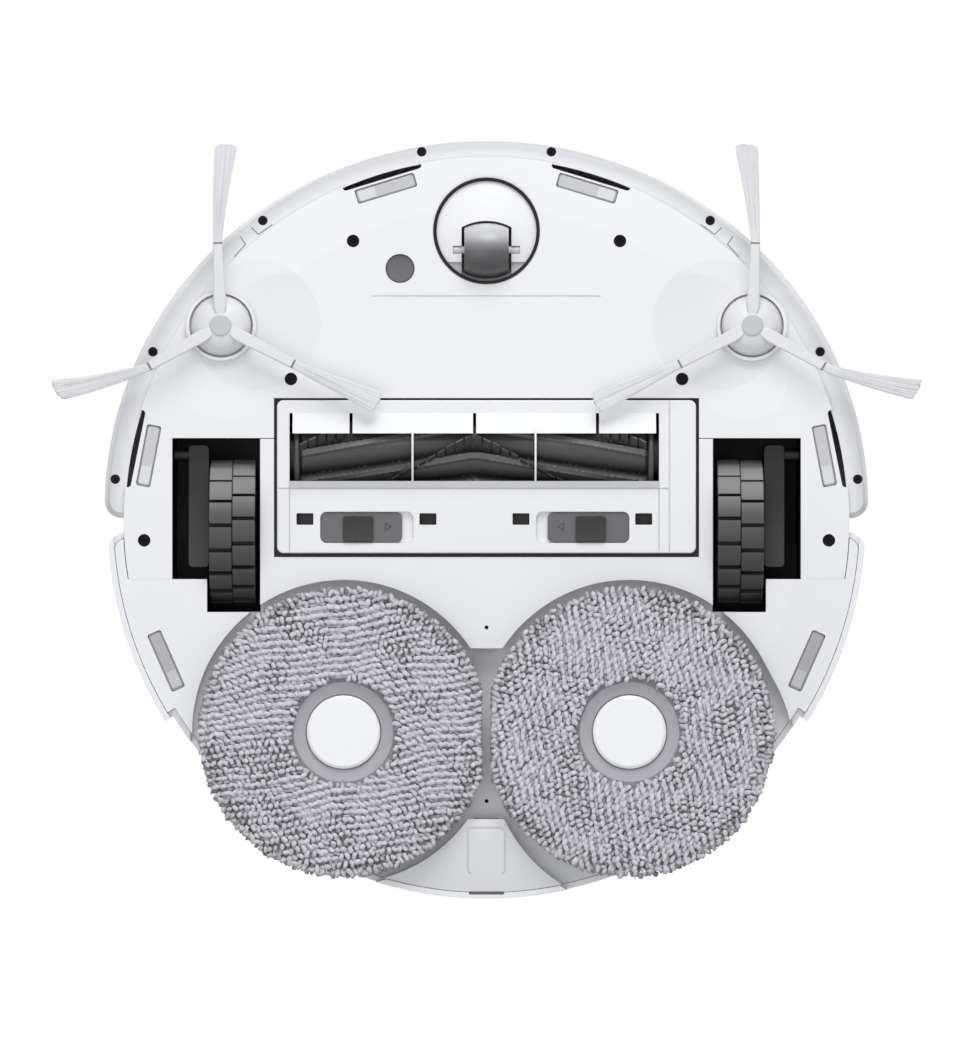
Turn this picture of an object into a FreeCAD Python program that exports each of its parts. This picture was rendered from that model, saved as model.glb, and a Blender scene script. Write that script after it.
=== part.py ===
"""Round robot vacuum with two spinning mops, made as one STEP file for each piece.

Millimetres, +Z up, front (the bumper) towards -Y. The origin is on the floor, below the
centre of the round body. "Outer side" means away from the middle plane x = 0.
"""
import FreeCAD, Part
import math
import os

V = FreeCAD.Vector
X_AXIS = V(1, 0, 0)
Z_AXIS = V(0, 0, 1)

# ---- body ---------------------------------------------------------------------------------
BODY_R = 175.0           # outer radius of the rear shell
WALL = 2.6               # moulded wall thickness of shell and bumper
FLOOR_GAP = 11.0         # floor to the flat middle of the base
PLATE_T = 2.5            # base plate thickness
BEVEL_R = 144.0          # the base is flat inside this radius and rises outside it
BEVEL_SLOPE = 0.085      # rise per mm outside BEVEL_R
FRONT_PLATE_R = 167.6    # outer edge of the front base plate
REAR_PLATE_R = 172.2     # outer edge of the rear base cover
FRONT_WALL_R = 162.4     # shell wall hidden behind the bumper
DECK_TOP = 82.0
DECK_EDGE = 2.6          # rounding of the deck's rim
DECK_INSET = 0.6         # the deck's rim stands in from the side wall
SHELL_BOTTOM = 12.6
SIDE_Y = 5.8             # the rear half of the shell starts here
END_ROUND = 8.0          # rounding, in plan, of the ends of the bumper and of the rear half
SEAM = 0.3               # gap between neighbouring mouldings
EDGE_NOTCHES = ((16.95, 37.7), (78.6, 36.2))   # angle and length, in the front plate's edge
EDGE_NOTCH_W = 6.8
GROOVE_X = (-52.6, 52.6)
GROOVE_Y = (-103.4, -102.8)
PIN_HOLES_Y = (49.8, 130.3)
PIN_HOLE_R = 0.9
EMBOSS_HALF = 9.1        # half width of the line frame on the rear panel
EMBOSS_Y = (141.9, 163.4)
EMBOSS_LINE = 0.9
EMBOSS_DEPTH = 0.6
REAR_WINDOW_XY = ((-8, 8), (171.8, 173.2))

# ---- bumper -------------------------------------------------------------------------------
BUMPER_BULGE = 3.0       # how far the bumper stands out at 60 degrees from the front
BUMPER_Z = (15.9, 78.2)
BUMPER_LIP_R = 167.0     # inner edge of the bumper's bottom and top lips
BUMPER_LIP_T = 2.0
BUMPER_CHAMFER = 2.4
BUMPER_END_Y = -0.7
BUMPER_SCREW_R = 172.6
BUMPER_SCREW_ANGLES = (10.0, 36.8, 63.3, 83.8)
WINDOW_Z = (34.0, 62.0)  # dark sensor window across the bumper

# ---- mops ---------------------------------------------------------------------------------
MOP_X = 65.9
MOP_Y = 97.9
PAD_R = 65.5
PAD_HOLE_R = 17.2
PAD_TOP = 7.2
MOP_PLATE_R = 58.0
MOP_HUB_R = 16.9
MOP_HUB_Z = 2.4
RECESS_R = 70.0
RECESS_TOP = 21.0
RECESS_WALL = 2.4
SPINDLE_R = 5.0
MOTOR_R = 20.0
MOTOR_Z = (24.0, 44.0)
ARM_PIVOT = (16.0, 132.0)
ARM_SWING = 12.0         # degrees that the right mop swings outwards
NOTCH_ANGLES = (122.1, 154.6)   # beside each mop the body is set in; degrees from the front
NOTCH_BODY_R = 171.0

# ---- roller and its guard -----------------------------------------------------------------
ROLLER_Y = -29.0
ROLLER_Z = 24.0
ROLLER_R = 19.4
ROLLER_CORE_R = 12.0
ROLLER_X = (-86.0, 75.0)
END_CAP_R = 11.4
CHAMBER_R = 21.8
CHAMBER_WALL = 2.0
BAY_X = 98.1
BAY_Y = (-56.1, 17.3)
GUARD_X = 96.7
GUARD_Y = (-55.1, 15.5)
GUARD_Z = (9.4, 12.4)
MOUTH_X = (-90.9, 79.6)
MOUTH_Y = (-39.7, -17.8)
COMB_Y = (-49.1, -39.7)
RAMP_DROP = 3.1                 # how far the mouth's front and rear lips reach down
LIP_BACK_Y = -14.6
COMB_SLOTS_X = (-62.5, -5.5, 51.2)
BAR_X = (-34.1, 22.6)
BAR_W = 0.9
LATCH_LENGTH = 37.4
LATCH_TRAVEL = 5.0
LATCH_SINK = 0.7
GRIP_WIDTH = 13.9
GRIP_HEIGHT = 1.7
LATCH_Y = (-3.3, 10.5)
LATCH_FAR_X = (-76.4, 28.2)   # low-x end of the left and of the right latch at rest
CATCH_X = (-83.8, -27.05, 15.9, 72.55)

# ---- wheels -------------------------------------------------------------------------------
WHEEL_X = (106.8, 127.8)
WHEEL_Y = 6.0
WHEEL_R = 33.9
RIM_R = 27.0
ARM_X = (128.4, 137.7)
ARM_Y = (-34.4, 21.9)
ARM_Z = (18.0, 44.0)
SWING_PIN = (-30.0, 22.0)     # y and z of the suspension pivot
WELL_X = (104.5, 145.1)
WELL_Y = (-37.6, 27.5)
WELL_DEEP_X = 129.0
WELL_DEEP_Y = 42.7
WELL_WALL = 1.6
WELL_TOP = 69.6

# ---- caster -------------------------------------------------------------------------------
CASTER_Y = -133.3
CASTER_HOLE_R = 24.6
CASTER_DISC_R = 23.1
CASTER_WHEEL_R = 12.5
CASTER_WHEEL_W = 20.4
CASTER_TRAIL = 8.8
CASTER_AXLE_R = 1.8

# ---- side brushes -------------------------------------------------------------------------
BRUSH_X = 122.5
BRUSH_Y = -89.5
BRUSH_HUB_R = 14.3
BRUSH_COLLAR = (14.7, 16.3)    # inner and outer radius of the low ring round the hub
BRUSH_COLLAR_Z = (9.4, 12.4)
SCOOP_DEPTH = 1.6
BRUSH_LOBES = ((30.0, 106.5, -90.0), (31.0, 120.0, -77.5))   # radius, x and y of the dished places
BRUSH_ARM_END = 38.0
BRUSH_TIP = 82.5
BRUSH_ANGLES = (-92.0, 150.0, 28.0)   # left brush; the right one is its mirror image

# ---- top ----------------------------------------------------------------------------------
LID_R = 150.0
LID_BACK_Y = -20.3
LID_BEVEL = 2.2            # under the hinged edge, so that it clears the deck as it lifts
TURRET_Y = 42.0
TURRET_R = 46.0
TURRET_TOP = 103.0
BUTTON_X = 14.0
BUTTON_Y = -12.0
BUTTON_R = 5.8

# ---- inside -------------------------------------------------------------------------------
CELL_R = 9.2
CELL_LENGTH = 65.0
CELL_X = 34.5
BIN_X = 80.0
BIN_Y = (-110.0, -20.0)
BIN_Z = (53.6, 76.6)
BIN_WALL = 2.2
INLET_X = 30.0
INLET_Y = (-34.0, -24.0)       # where the duct from the roller enters the bin
PLEATS = 13
PLEAT_PITCH = 9.0

FAR = 400.0              # longer than anything here, for cutting half spaces


# ---- helpers ------------------------------------------------------------------------------
def box(x, y, z):
    return Part.makeBox(x[1] - x[0], y[1] - y[0], z[1] - z[0], V(x[0], y[0], z[0]))


def slab(x, y, z, corner):
    """Box with its four upright edges rounded."""
    block = box(x, y, z)
    upright = [e for e in block.Edges if abs(e.Vertexes[0].Z - e.Vertexes[1].Z) > 0.01]
    return block.makeFillet(corner, upright)


def cyl(r, z, at=(0, 0)):
    return Part.makeCylinder(r, z[1] - z[0], V(at[0], at[1], z[0]))


def tube(outer, inner, z, at=(0, 0)):
    return cyl(outer, z, at).cut(cyl(inner, z, at))


def rod(r, x, at):
    """Cylinder along X; at is its y and z."""
    return Part.makeCylinder(r, x[1] - x[0], V(x[0], at[0], at[1]), X_AXIS)


def spun(points, at=(0, 0)):
    """Solid of revolution about a vertical axis from an outline of (radius, z) points."""
    corners = [V(r, 0, z) for r, z in points]
    solid = Part.Face(Part.makePolygon(corners + corners[:1])).revolve(V(0, 0, 0), Z_AXIS, 360)
    solid.translate(V(at[0], at[1], 0))
    return Part.Solid(solid) if solid.ShapeType == "Shell" else solid


def prism(points, z):
    """Upright prism on a polygon of (x, y) points."""
    corners = [V(x, y, z[0]) for x, y in points]
    return Part.Face(Part.makePolygon(corners + corners[:1])).extrude(V(0, 0, z[1] - z[0]))


def fused(*shapes):
    return shapes[0].multiFuse(list(shapes[1:])).removeSplitter()


def mirrored(shape):
    return shape.mirror(V(0, 0, 0), X_AXIS)


def both(shape):
    return [shape, mirrored(shape)]


def rotated(shape, degrees, at=(0, 0)):
    turned = shape.copy()
    turned.rotate(V(at[0], at[1], 0), Z_AXIS, degrees)
    return turned


def moved(shape, x=0, y=0, z=0):
    shifted = shape.copy()
    shifted.translate(V(x, y, z))
    return shifted


def softened(shape, radius, wanted):
    """Fillet the edges for which wanted(edge) is true."""
    return shape.makeFillet(radius, [e for e in shape.Edges if wanted(e)])


def edges_at(z):
    """Test for the edges that lie flat at height z."""
    return lambda e: abs(e.BoundBox.ZMin - z) < 0.001 and abs(e.BoundBox.ZMax - z) < 0.001


def upright_edges_at(shape, y):
    return [e for e in shape.Edges if e.BoundBox.ZLength > 1 and abs(e.BoundBox.YMin - y) < 0.01
            and e.BoundBox.YLength < 0.01]


def around(radius, degrees):
    """Point on a circle about the origin; degrees run from the front towards +X."""
    a = math.radians(degrees)
    return radius * math.sin(a), -radius * math.cos(a)


def save(name, *solids):
    shape = solids[0] if len(solids) == 1 else Part.makeCompound(list(solids))
    if not shape.isValid() or not shape.Solids:
        raise ValueError(name + " is not a valid solid")
    shape.exportStep("parts/" + name + ".step")
    print(name, len(shape.Solids), round(shape.Volume / 1000.0, 2))


# ---- shapes that several pieces share -----------------------------------------------------
def base_profile(radius, lift=0.0, bottom=None):
    """The dished base: flat in the middle, rising outside BEVEL_R. bottom flattens its underside."""
    rise = (radius - BEVEL_R) * BEVEL_SLOPE
    low = FLOOR_GAP + lift
    high = low + PLATE_T
    if bottom is None:
        under = [(0, low), (BEVEL_R, low), (radius, low + rise)]
    else:
        under = [(0, bottom), (radius, bottom)]
    return spun(under + [(radius, high + rise), (BEVEL_R, high), (0, high)])


def set_in(radius, z, inset):
    """What is cut away beside each mop, where the body is narrower."""
    ring = tube(BODY_R + 5, radius, z)
    starts = [rotated(Part.Vertex(0, -FAR, 0), angle).Point for angle in NOTCH_ANGLES]
    middle = (starts[0] + starts[1]).normalize()
    tip = middle * (-inset / math.sin(math.radians((NOTCH_ANGLES[1] - NOTCH_ANGLES[0]) / 2)))
    corners = [tip + p for p in (V(0, 0, 0), starts[0], middle * 2 * FAR, starts[1])]
    wedge = prism([(p.x, p.y) for p in corners], z)
    return both(ring.common(wedge))


def body_outline(inset, z):
    """Upright solid of the body's outline, drawn in by inset."""
    rear = cyl(BODY_R - inset, z).common(box((-FAR, FAR), (SIDE_Y + inset, FAR), z))
    rear = rear.makeFillet(END_ROUND - inset, upright_edges_at(rear, SIDE_Y + inset))
    for cutter in set_in(NOTCH_BODY_R - inset, z, inset):
        rear = rear.cut(cutter)
    return fused(rear, cyl(FRONT_WALL_R - inset, z))


def swept_mop(radius, z, side):
    """Space round a mop; on the right it follows the swing of the arm."""
    here = cyl(radius, z, (side * MOP_X, MOP_Y))
    if side < 0:
        return here
    there = rotated(here, ARM_SWING, ARM_PIVOT)
    a = V(MOP_X, MOP_Y, 0)
    b = rotated(Part.Vertex(a), ARM_SWING, ARM_PIVOT).Point
    along = (b - a).normalize()
    across = V(-along.y, along.x, 0) * radius
    bridge = prism([(p.x, p.y) for p in (a + across, a - across, b - across, b + across)], z)
    return fused(here, there, bridge)


def bay_between_mops(z):
    return box((-9, 9), (59.5, 138.2), z)


def front_region():
    """Plan of the front base plate, which reaches back outside the wheel wells."""
    z = (0, 60)
    wings = both(box((WELL_X[1], FAR), (WELL_Y[0] - 1, WELL_Y[1]), z))
    return fused(box((-FAR, FAR), (-FAR, WELL_Y[0]), z), *wings)


def wheel_openings(z, grow=0.0):
    """Both L-shaped wheel openings."""
    x0, x1 = WELL_X[0] - grow, WELL_X[1] + grow
    main = box((x0, x1), (WELL_Y[0] - grow, WELL_Y[1] + grow), z)
    back = box((x0, WELL_DEEP_X + grow), (WELL_Y[1] - 5, WELL_DEEP_Y + grow), z)
    return both(fused(main, back))


def sensor_slot(angle, radius, length, width, corner, z):
    """Upright rounded bar lying along a circle about the origin."""
    bar = slab((-length / 2, length / 2), (-width / 2, width / 2), z, corner)
    x, y = around(radius, angle)
    return moved(rotated(bar, angle), x, y)


CLIFF_ANGLES = (16.9, 79.3, 113.8)
CLIFF_R = (159.9, 158.8, 161.7)


def cliff_slots():
    z = (0, 40)
    right = [sensor_slot(a, r, 28.6, 6.7, 1.2, z) for a, r in zip(CLIFF_ANGLES, CLIFF_R)]
    return right + [mirrored(slot) for slot in right]


BASE_SCREWS = ((61.6, -128.6), (90.3, -64.9), (158.1, 9.6))
BASE_SCREW_R = 2.9
FLOOR_SENSOR = (-39.9, -115.9)
FLOOR_SENSOR_R = 6.7


def base_cutters():
    """Everything that goes right through the base."""
    z = (0, 60)
    cutters = wheel_openings(z) + cliff_slots()
    cutters.append(box((-BAY_X, BAY_X), BAY_Y, z))
    cutters.append(cyl(CASTER_HOLE_R, z, (0, CASTER_Y)))
    cutters.append(cyl(FLOOR_SENSOR_R, z, FLOOR_SENSOR))
    for s in (1, -1):
        cutters.append(cyl(8.0, z, (s * BRUSH_X, BRUSH_Y)))
        cutters += [cyl(BASE_SCREW_R, z, (s * x, y)) for x, y in BASE_SCREWS]
    return cutters


# ---- base ---------------------------------------------------------------------------------
def domed(radius, low, edge, top, at):
    """Upright disc whose underside is part of a ball, lowest in the middle."""
    drop = edge - low
    ball = (radius ** 2 + drop ** 2) / (2 * drop)
    half = math.asin(radius / ball) / 2
    between = V(ball * math.sin(half), 0, low + ball - ball * math.cos(half))
    arc = Part.Arc(V(0, 0, low), between, V(radius, 0, edge)).toShape()
    sides = Part.makePolygon([V(radius, 0, edge), V(radius, 0, top), V(0, 0, top), V(0, 0, low)])
    return moved(Part.Face(Part.Wire([arc] + sides.Edges)).revolve(V(0, 0, 0), Z_AXIS, 360), *at)


def scoop(radius, at):
    """Part of a large ball that dishes the flat base over a circle of this radius."""
    ball = (radius ** 2 + SCOOP_DEPTH ** 2) / (2 * SCOOP_DEPTH)
    low = FLOOR_GAP + SCOOP_DEPTH - ball
    arc = Part.Arc(V(0, 0, low + ball), V(ball * math.sin(0.1), 0, low + ball * math.cos(0.1)),
                   V(ball * math.sin(0.2), 0, low + ball * math.cos(0.2))).toShape()
    end = arc.Vertexes[1].Point
    sides = Part.makePolygon([end, V(0, 0, end.z), V(0, 0, low + ball)])
    return moved(Part.Face(Part.Wire([arc] + sides.Edges)).revolve(V(0, 0, 0), Z_AXIS, 360), *at)


def front_base_plate():
    plate = base_profile(FRONT_PLATE_R).common(front_region())
    for cutter in base_cutters():
        plate = plate.cut(cutter)
    for s in (1, -1):
        hub = (s * BRUSH_X, BRUSH_Y)
        for r, x, y in BRUSH_LOBES:
            plate = plate.cut(scoop(r, (s * x, y)))
        plate = plate.cut(cyl(BRUSH_COLLAR[0], (0, FLOOR_GAP + SCOOP_DEPTH), hub))
        plate = plate.fuse(tube(BRUSH_COLLAR[1], BRUSH_COLLAR[0], BRUSH_COLLAR_Z, hub))
    for angle, length in EDGE_NOTCHES:
        for s in (1, -1):
            plate = plate.cut(sensor_slot(s * angle, FRONT_PLATE_R, length, EDGE_NOTCH_W, 1.4, (0, 40)))
    return plate.cut(slab(GROOVE_X, GROOVE_Y, (0, FLOOR_GAP + 0.4), 0.25))


def rear_base_cover():
    """Rear half of the underside, with the two mop recesses moulded into it."""
    low = (0, RECESS_TOP)
    outer = base_profile(REAR_PLATE_R)
    walls = [swept_mop(RECESS_R + RECESS_WALL, (FLOOR_GAP, RECESS_TOP + RECESS_WALL), s) for s in (1, -1)]
    middle = bay_between_mops((FLOOR_GAP, RECESS_TOP + RECESS_WALL))
    cover = fused(outer, middle, *walls)
    cover = cover.common(body_outline(BODY_R - REAR_PLATE_R, (0, 60)))
    cover = cover.cut(base_profile(BODY_R, bottom=0.0).cut(base_profile(BODY_R)))
    cover = cover.cut(front_region().common(cyl(FRONT_PLATE_R + SEAM, (0, 60))))
    cover = cover.cut(box((-FAR, FAR), (-FAR, WELL_Y[0] + SEAM), (0, 60)))
    for cutter in [swept_mop(RECESS_R, low, s) for s in (1, -1)] + [bay_between_mops(low)]:
        cover = cover.cut(cutter)
    for cutter in base_cutters():
        cover = cover.cut(cutter)
    cover = cover.cut(swept_mop(SPINDLE_R + 4, (0, 60), 1)).cut(swept_mop(SPINDLE_R + 4, (0, 60), -1))
    cover = cover.cut(box(*REAR_WINDOW_XY, (0, 60)))
    for y in PIN_HOLES_Y:
        cover = cover.cut(cyl(PIN_HOLE_R, (0, 60), (0, y)))
    frame = slab((-EMBOSS_HALF, EMBOSS_HALF), EMBOSS_Y, (0, 30), 2.0)
    frame = frame.common(base_profile(BODY_R, EMBOSS_DEPTH - PLATE_T, bottom=0.0))
    half = EMBOSS_HALF - EMBOSS_LINE
    inside = slab((-half, half), (EMBOSS_Y[0] + EMBOSS_LINE, EMBOSS_Y[1]), (0, 30), 1.6)
    return cover.cut(frame.cut(inside))


def upper_shell():
    """Side wall and top deck in one moulding."""
    skin_top = DECK_TOP - WALL
    deck_z = (BUMPER_Z[1] + 0.8, DECK_TOP)
    deck = softened(cyl(BODY_R - DECK_INSET, deck_z), DECK_EDGE, edges_at(DECK_TOP))
    for cutter in set_in(NOTCH_BODY_R - DECK_INSET, (0, 100), 0):
        deck = deck.cut(cutter)
    deck = deck.cut(side_gap((0, 100)))
    core = softened(cyl(BUMPER_LIP_R, deck_z), DECK_EDGE, edges_at(DECK_TOP))
    deck = fused(deck, core)
    outside = fused(body_outline(0, (SHELL_BOTTOM, deck_z[0])), deck)
    shell = outside.cut(body_outline(WALL, (0, skin_top)))
    shell = shell.cut(base_profile(REAR_PLATE_R + 0.15, 0.1, bottom=0.0))
    arch = [swept_mop(RECESS_R + 1, (0, RECESS_TOP), s) for s in (1, -1)]
    for cutter in arch:
        shell = shell.cut(cutter)
    shell = shell.cut(lid_outline(SEAM, (skin_top - 1, DECK_TOP + 1)))
    ledge = lid_outline(SEAM + 0.5, (skin_top - 2.2, skin_top)).cut(lid_outline(-5, (0, 100)))
    shell = fused(shell, ledge)
    for s in (1, -1):
        shell = shell.cut(cyl(BUTTON_R + 0.3, (60, 100), (s * BUTTON_X, BUTTON_Y)))
    shell = shell.cut(cyl(TURRET_R - 8, (60, 100), (0, TURRET_Y)))
    shell = shell.cut(box(*REAR_WINDOW_XY, (0, 24)))
    x, y = BASE_SCREWS[2]
    for s in (1, -1):
        shell = shell.cut(cyl(BASE_SCREW_R + 0.4, (0, FLOOR_GAP + 10), (s * x, y)))
    for plate in contact_plates():
        shell = shell.cut(plate)
    return shell


def side_gap(z):
    """The open slot between each end of the bumper and the rear half of the shell."""
    around_gap = both(box((BUMPER_LIP_R - 2, FAR), (BUMPER_END_Y - END_ROUND, SIDE_Y + END_ROUND), z))
    return fused(*around_gap).cut(body_outline(DECK_INSET, z)).cut(bumper_plan(DECK_INSET, z))


def lid_outline(grow, z):
    disc = cyl(LID_R + grow, z)
    return disc.common(box((-FAR, FAR), (-FAR, LID_BACK_Y + grow), z))


def contact_plates():
    ring = tube(BODY_R + 0.4, BODY_R - WALL, (26, 34))
    return both(ring.common(box((16, 32), (0, FAR), (0, 60))))


def top_cover():
    """Hinged cover over the dust bin, flush with the deck, with a finger notch at the front."""
    lid = lid_outline(0, (DECK_TOP - WALL + 0.2, DECK_TOP))
    lid = softened(lid, 0.6, edges_at(DECK_TOP))
    low, back = DECK_TOP - WALL, LID_BACK_Y
    lid = lid.cut(across((-FAR, FAR), [(back - LID_BEVEL, low), (back, low + LID_BEVEL), (back + 1, low)]))
    notch = cyl(16, (DECK_TOP - 1.2, DECK_TOP + 1), (0, -LID_R - 4))
    return lid.cut(notch)


# ---- bumper -------------------------------------------------------------------------------
def bumper_outline(inset, z):
    """Front half outline: three arcs that meet smoothly at 30 degrees, widest at 60 degrees."""
    def point(degrees):
        swell = BUMPER_BULGE * math.sin(math.radians(1.5 * degrees)) ** 2
        return V(*around(BODY_R - inset + swell, degrees), z[0])
    arcs = [Part.Arc(point(a - 30), point(a), point(a + 30)).toShape() for a in (-60, 0, 60)]
    back = Part.LineSegment(point(90), point(-90)).toShape()
    return Part.Face(Part.Wire(arcs + [back])).extrude(V(0, 0, z[1] - z[0]))


def bumper_plan(inset, z):
    """The outline cut off at the bumper's ends, with rounded corners."""
    end_y = BUMPER_END_Y - inset
    plan = bumper_outline(inset, z).cut(box((-FAR, FAR), (end_y, FAR), (0, 200)))
    return plan.makeFillet(END_ROUND - inset, upright_edges_at(plan, end_y))


def bumper_parts():
    """The bumper shell and the dark window let into it."""
    body = bumper_plan(0, BUMPER_Z)
    rim = [e for e in body.Edges if edges_at(BUMPER_Z[0])(e) and e.BoundBox.YLength > 1]
    body = body.makeChamfer(BUMPER_CHAMFER, rim)
    inner = (BUMPER_Z[0] + BUMPER_LIP_T, BUMPER_Z[1] - BUMPER_LIP_T)
    body = body.cut(bumper_plan(WALL, inner)).cut(cyl(BUMPER_LIP_R, (0, 100)))
    band = box((-FAR, FAR), (-FAR, -78), WINDOW_Z)
    window = bumper_outline(0.2, WINDOW_Z).cut(bumper_outline(1.4, WINDOW_Z)).common(band)
    body = body.cut(bumper_outline(-5, WINDOW_Z).cut(bumper_outline(1.4, WINDOW_Z)).common(band))
    z = (BUMPER_Z[0] + 0.05, BUMPER_Z[0] + BUMPER_LIP_T)
    places = [around(BUMPER_SCREW_R, s * a) for a in BUMPER_SCREW_ANGLES for s in (1, -1)]
    screws = [cyl(2.2, z, p).cut(cyl(0.9, (0, z[0] + 0.7), p)) for p in places]
    for p in places:
        body = body.cut(cyl(2.2, (0, z[1]), p))
    return body, window, screws


# ---- fittings in the base -----------------------------------------------------------------
def cliff_windows():
    pane = base_profile(BODY_R, 0.35).cut(base_profile(BODY_R, 2.2))
    return [slot.common(pane) for slot in cliff_slots()]


def phillips_screw(r, z, at):
    """Pan head with a raised rim, and a cross sunk in its middle."""
    arm = r * 0.56
    width = r * 0.15
    deep = (0, z[0] + 1.4)
    cross = fused(box((-arm, arm), (-width, width), deep), box((-width, width), (-arm, arm), deep))
    head = cyl(r, z, at).cut(cyl(r * 0.78, (0, z[0] + 0.35), at))
    return head.cut(moved(cross, at[0], at[1]))


def base_screws():
    z = (FLOOR_GAP + 0.9, FLOOR_GAP + 9)
    places = [(s * x, y) for x, y in BASE_SCREWS for s in (1, -1)]
    return [phillips_screw(BASE_SCREW_R, (z[0] + (0.9 if abs(x) > BEVEL_R else 0), z[1]), (x, y))
            for x, y in places]


def brush_bay():
    """Roller chamber with a flange over the guard and a duct up to the dust bin."""
    flange = box((-BAY_X - 1.5, BAY_X + 1.5), (BAY_Y[0] - 1.5, BAY_Y[1] + 1.5), (13.6, 15.4))
    ends = (MOUTH_X[0] - 3.1, MOUTH_X[1] + 6.1)
    hood = rod(CHAMBER_R + CHAMBER_WALL, ends, (ROLLER_Y, ROLLER_Z))
    hood = hood.common(box((-FAR, FAR), (-FAR, FAR), (13.6, 100)))
    duct = box((-INLET_X - 2, INLET_X + 2), (INLET_Y[0] - 2, INLET_Y[1] + 2), (40, BIN_Z[0] - 0.2))
    bay = fused(flange, hood, duct)
    inside = (ends[0] + 2, ends[1] - 2)
    bay = bay.cut(rod(CHAMBER_R, inside, (ROLLER_Y, ROLLER_Z)))
    bay = bay.cut(box(inside, (ROLLER_Y - CHAMBER_R, ROLLER_Y + CHAMBER_R), (0, ROLLER_Z)))
    return bay.cut(box((-INLET_X, INLET_X), INLET_Y, (30, 60)))


def wheel_wells():
    """Liner boxes round the drive wheels, one for each side."""
    z = (13.6, WELL_TOP + WELL_WALL)
    recess_z = (0, RECESS_TOP + RECESS_WALL + 0.1)
    liners = []
    for outer, inner in zip(wheel_openings(z, WELL_WALL), wheel_openings((0, WELL_TOP))):
        liner = outer.cut(inner)
        for side in (1, -1):
            liner = liner.cut(swept_mop(RECESS_R + RECESS_WALL + 0.1, recess_z, side))
        liners.append(liner.cut(base_profile(BODY_R, 0.05, bottom=0.0)))
    return liners


def caster_socket():
    z = (10.6, 32)
    socket = tube(CASTER_HOLE_R, CASTER_DISC_R + 0.3, z, (0, CASTER_Y))
    return fused(socket, tube(CASTER_HOLE_R, 4.0, (30, 32), (0, CASTER_Y)))


# ---- caster -------------------------------------------------------------------------------
def caster_fork():
    """Domed disc that turns in the socket, with a window for the wheel and a post on top."""
    at = (0, CASTER_Y)
    disc = domed(CASTER_DISC_R, 9.0, 12.2, 29.4, at).fuse(cyl(3.8, (29, 33.5), at))
    half = CASTER_WHEEL_W / 2 + 1.3
    axle_y = CASTER_Y + CASTER_TRAIL
    disc = disc.cut(barrel(half, CASTER_WHEEL_R + 1.2, 10.7))
    disc = disc.cut(box((-half, half), (axle_y, CASTER_Y + 30), (0, CASTER_WHEEL_R + 4)))
    disc = disc.cut(box((-30, 30), (-118.9, -100), (0, 12.6)))
    notch = box((-15.4, 15.4), (axle_y - CASTER_AXLE_R, axle_y + CASTER_AXLE_R), (0, CASTER_WHEEL_R))
    return disc.cut(notch).cut(rod(CASTER_AXLE_R, (-15.4, 15.4), (axle_y, CASTER_WHEEL_R)))


def barrel(half, middle_r, end_r):
    """Barrel on the caster wheel's axis, turned from an arc."""
    crown = Part.Arc(V(-half, 0, end_r), V(0, 0, middle_r), V(half, 0, end_r)).toShape()
    sides = Part.makePolygon([V(half, 0, end_r), V(half, 0, 0), V(-half, 0, 0), V(-half, 0, end_r)])
    solid = Part.Face(Part.Wire([crown] + sides.Edges)).revolve(V(0, 0, 0), X_AXIS, 360)
    return moved(solid, 0, CASTER_Y + CASTER_TRAIL, CASTER_WHEEL_R)


def caster_wheel():
    half = CASTER_WHEEL_W / 2
    axle = rod(CASTER_AXLE_R + 0.05, (-half, half), (CASTER_Y + CASTER_TRAIL, CASTER_WHEEL_R))
    return barrel(half, CASTER_WHEEL_R, 10.2).cut(axle)


def caster_axle():
    return rod(CASTER_AXLE_R, (-15.3, 15.3), (CASTER_Y + CASTER_TRAIL, CASTER_WHEEL_R))


# ---- roller and guard ---------------------------------------------------------------------
def across(x, outline):
    """Prism along X on an outline of (y, z) points."""
    corners = [V(x[0], y, z) for y, z in outline]
    return Part.Face(Part.makePolygon(corners + corners[:1])).extrude(V(x[1] - x[0], 0, 0))


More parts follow.
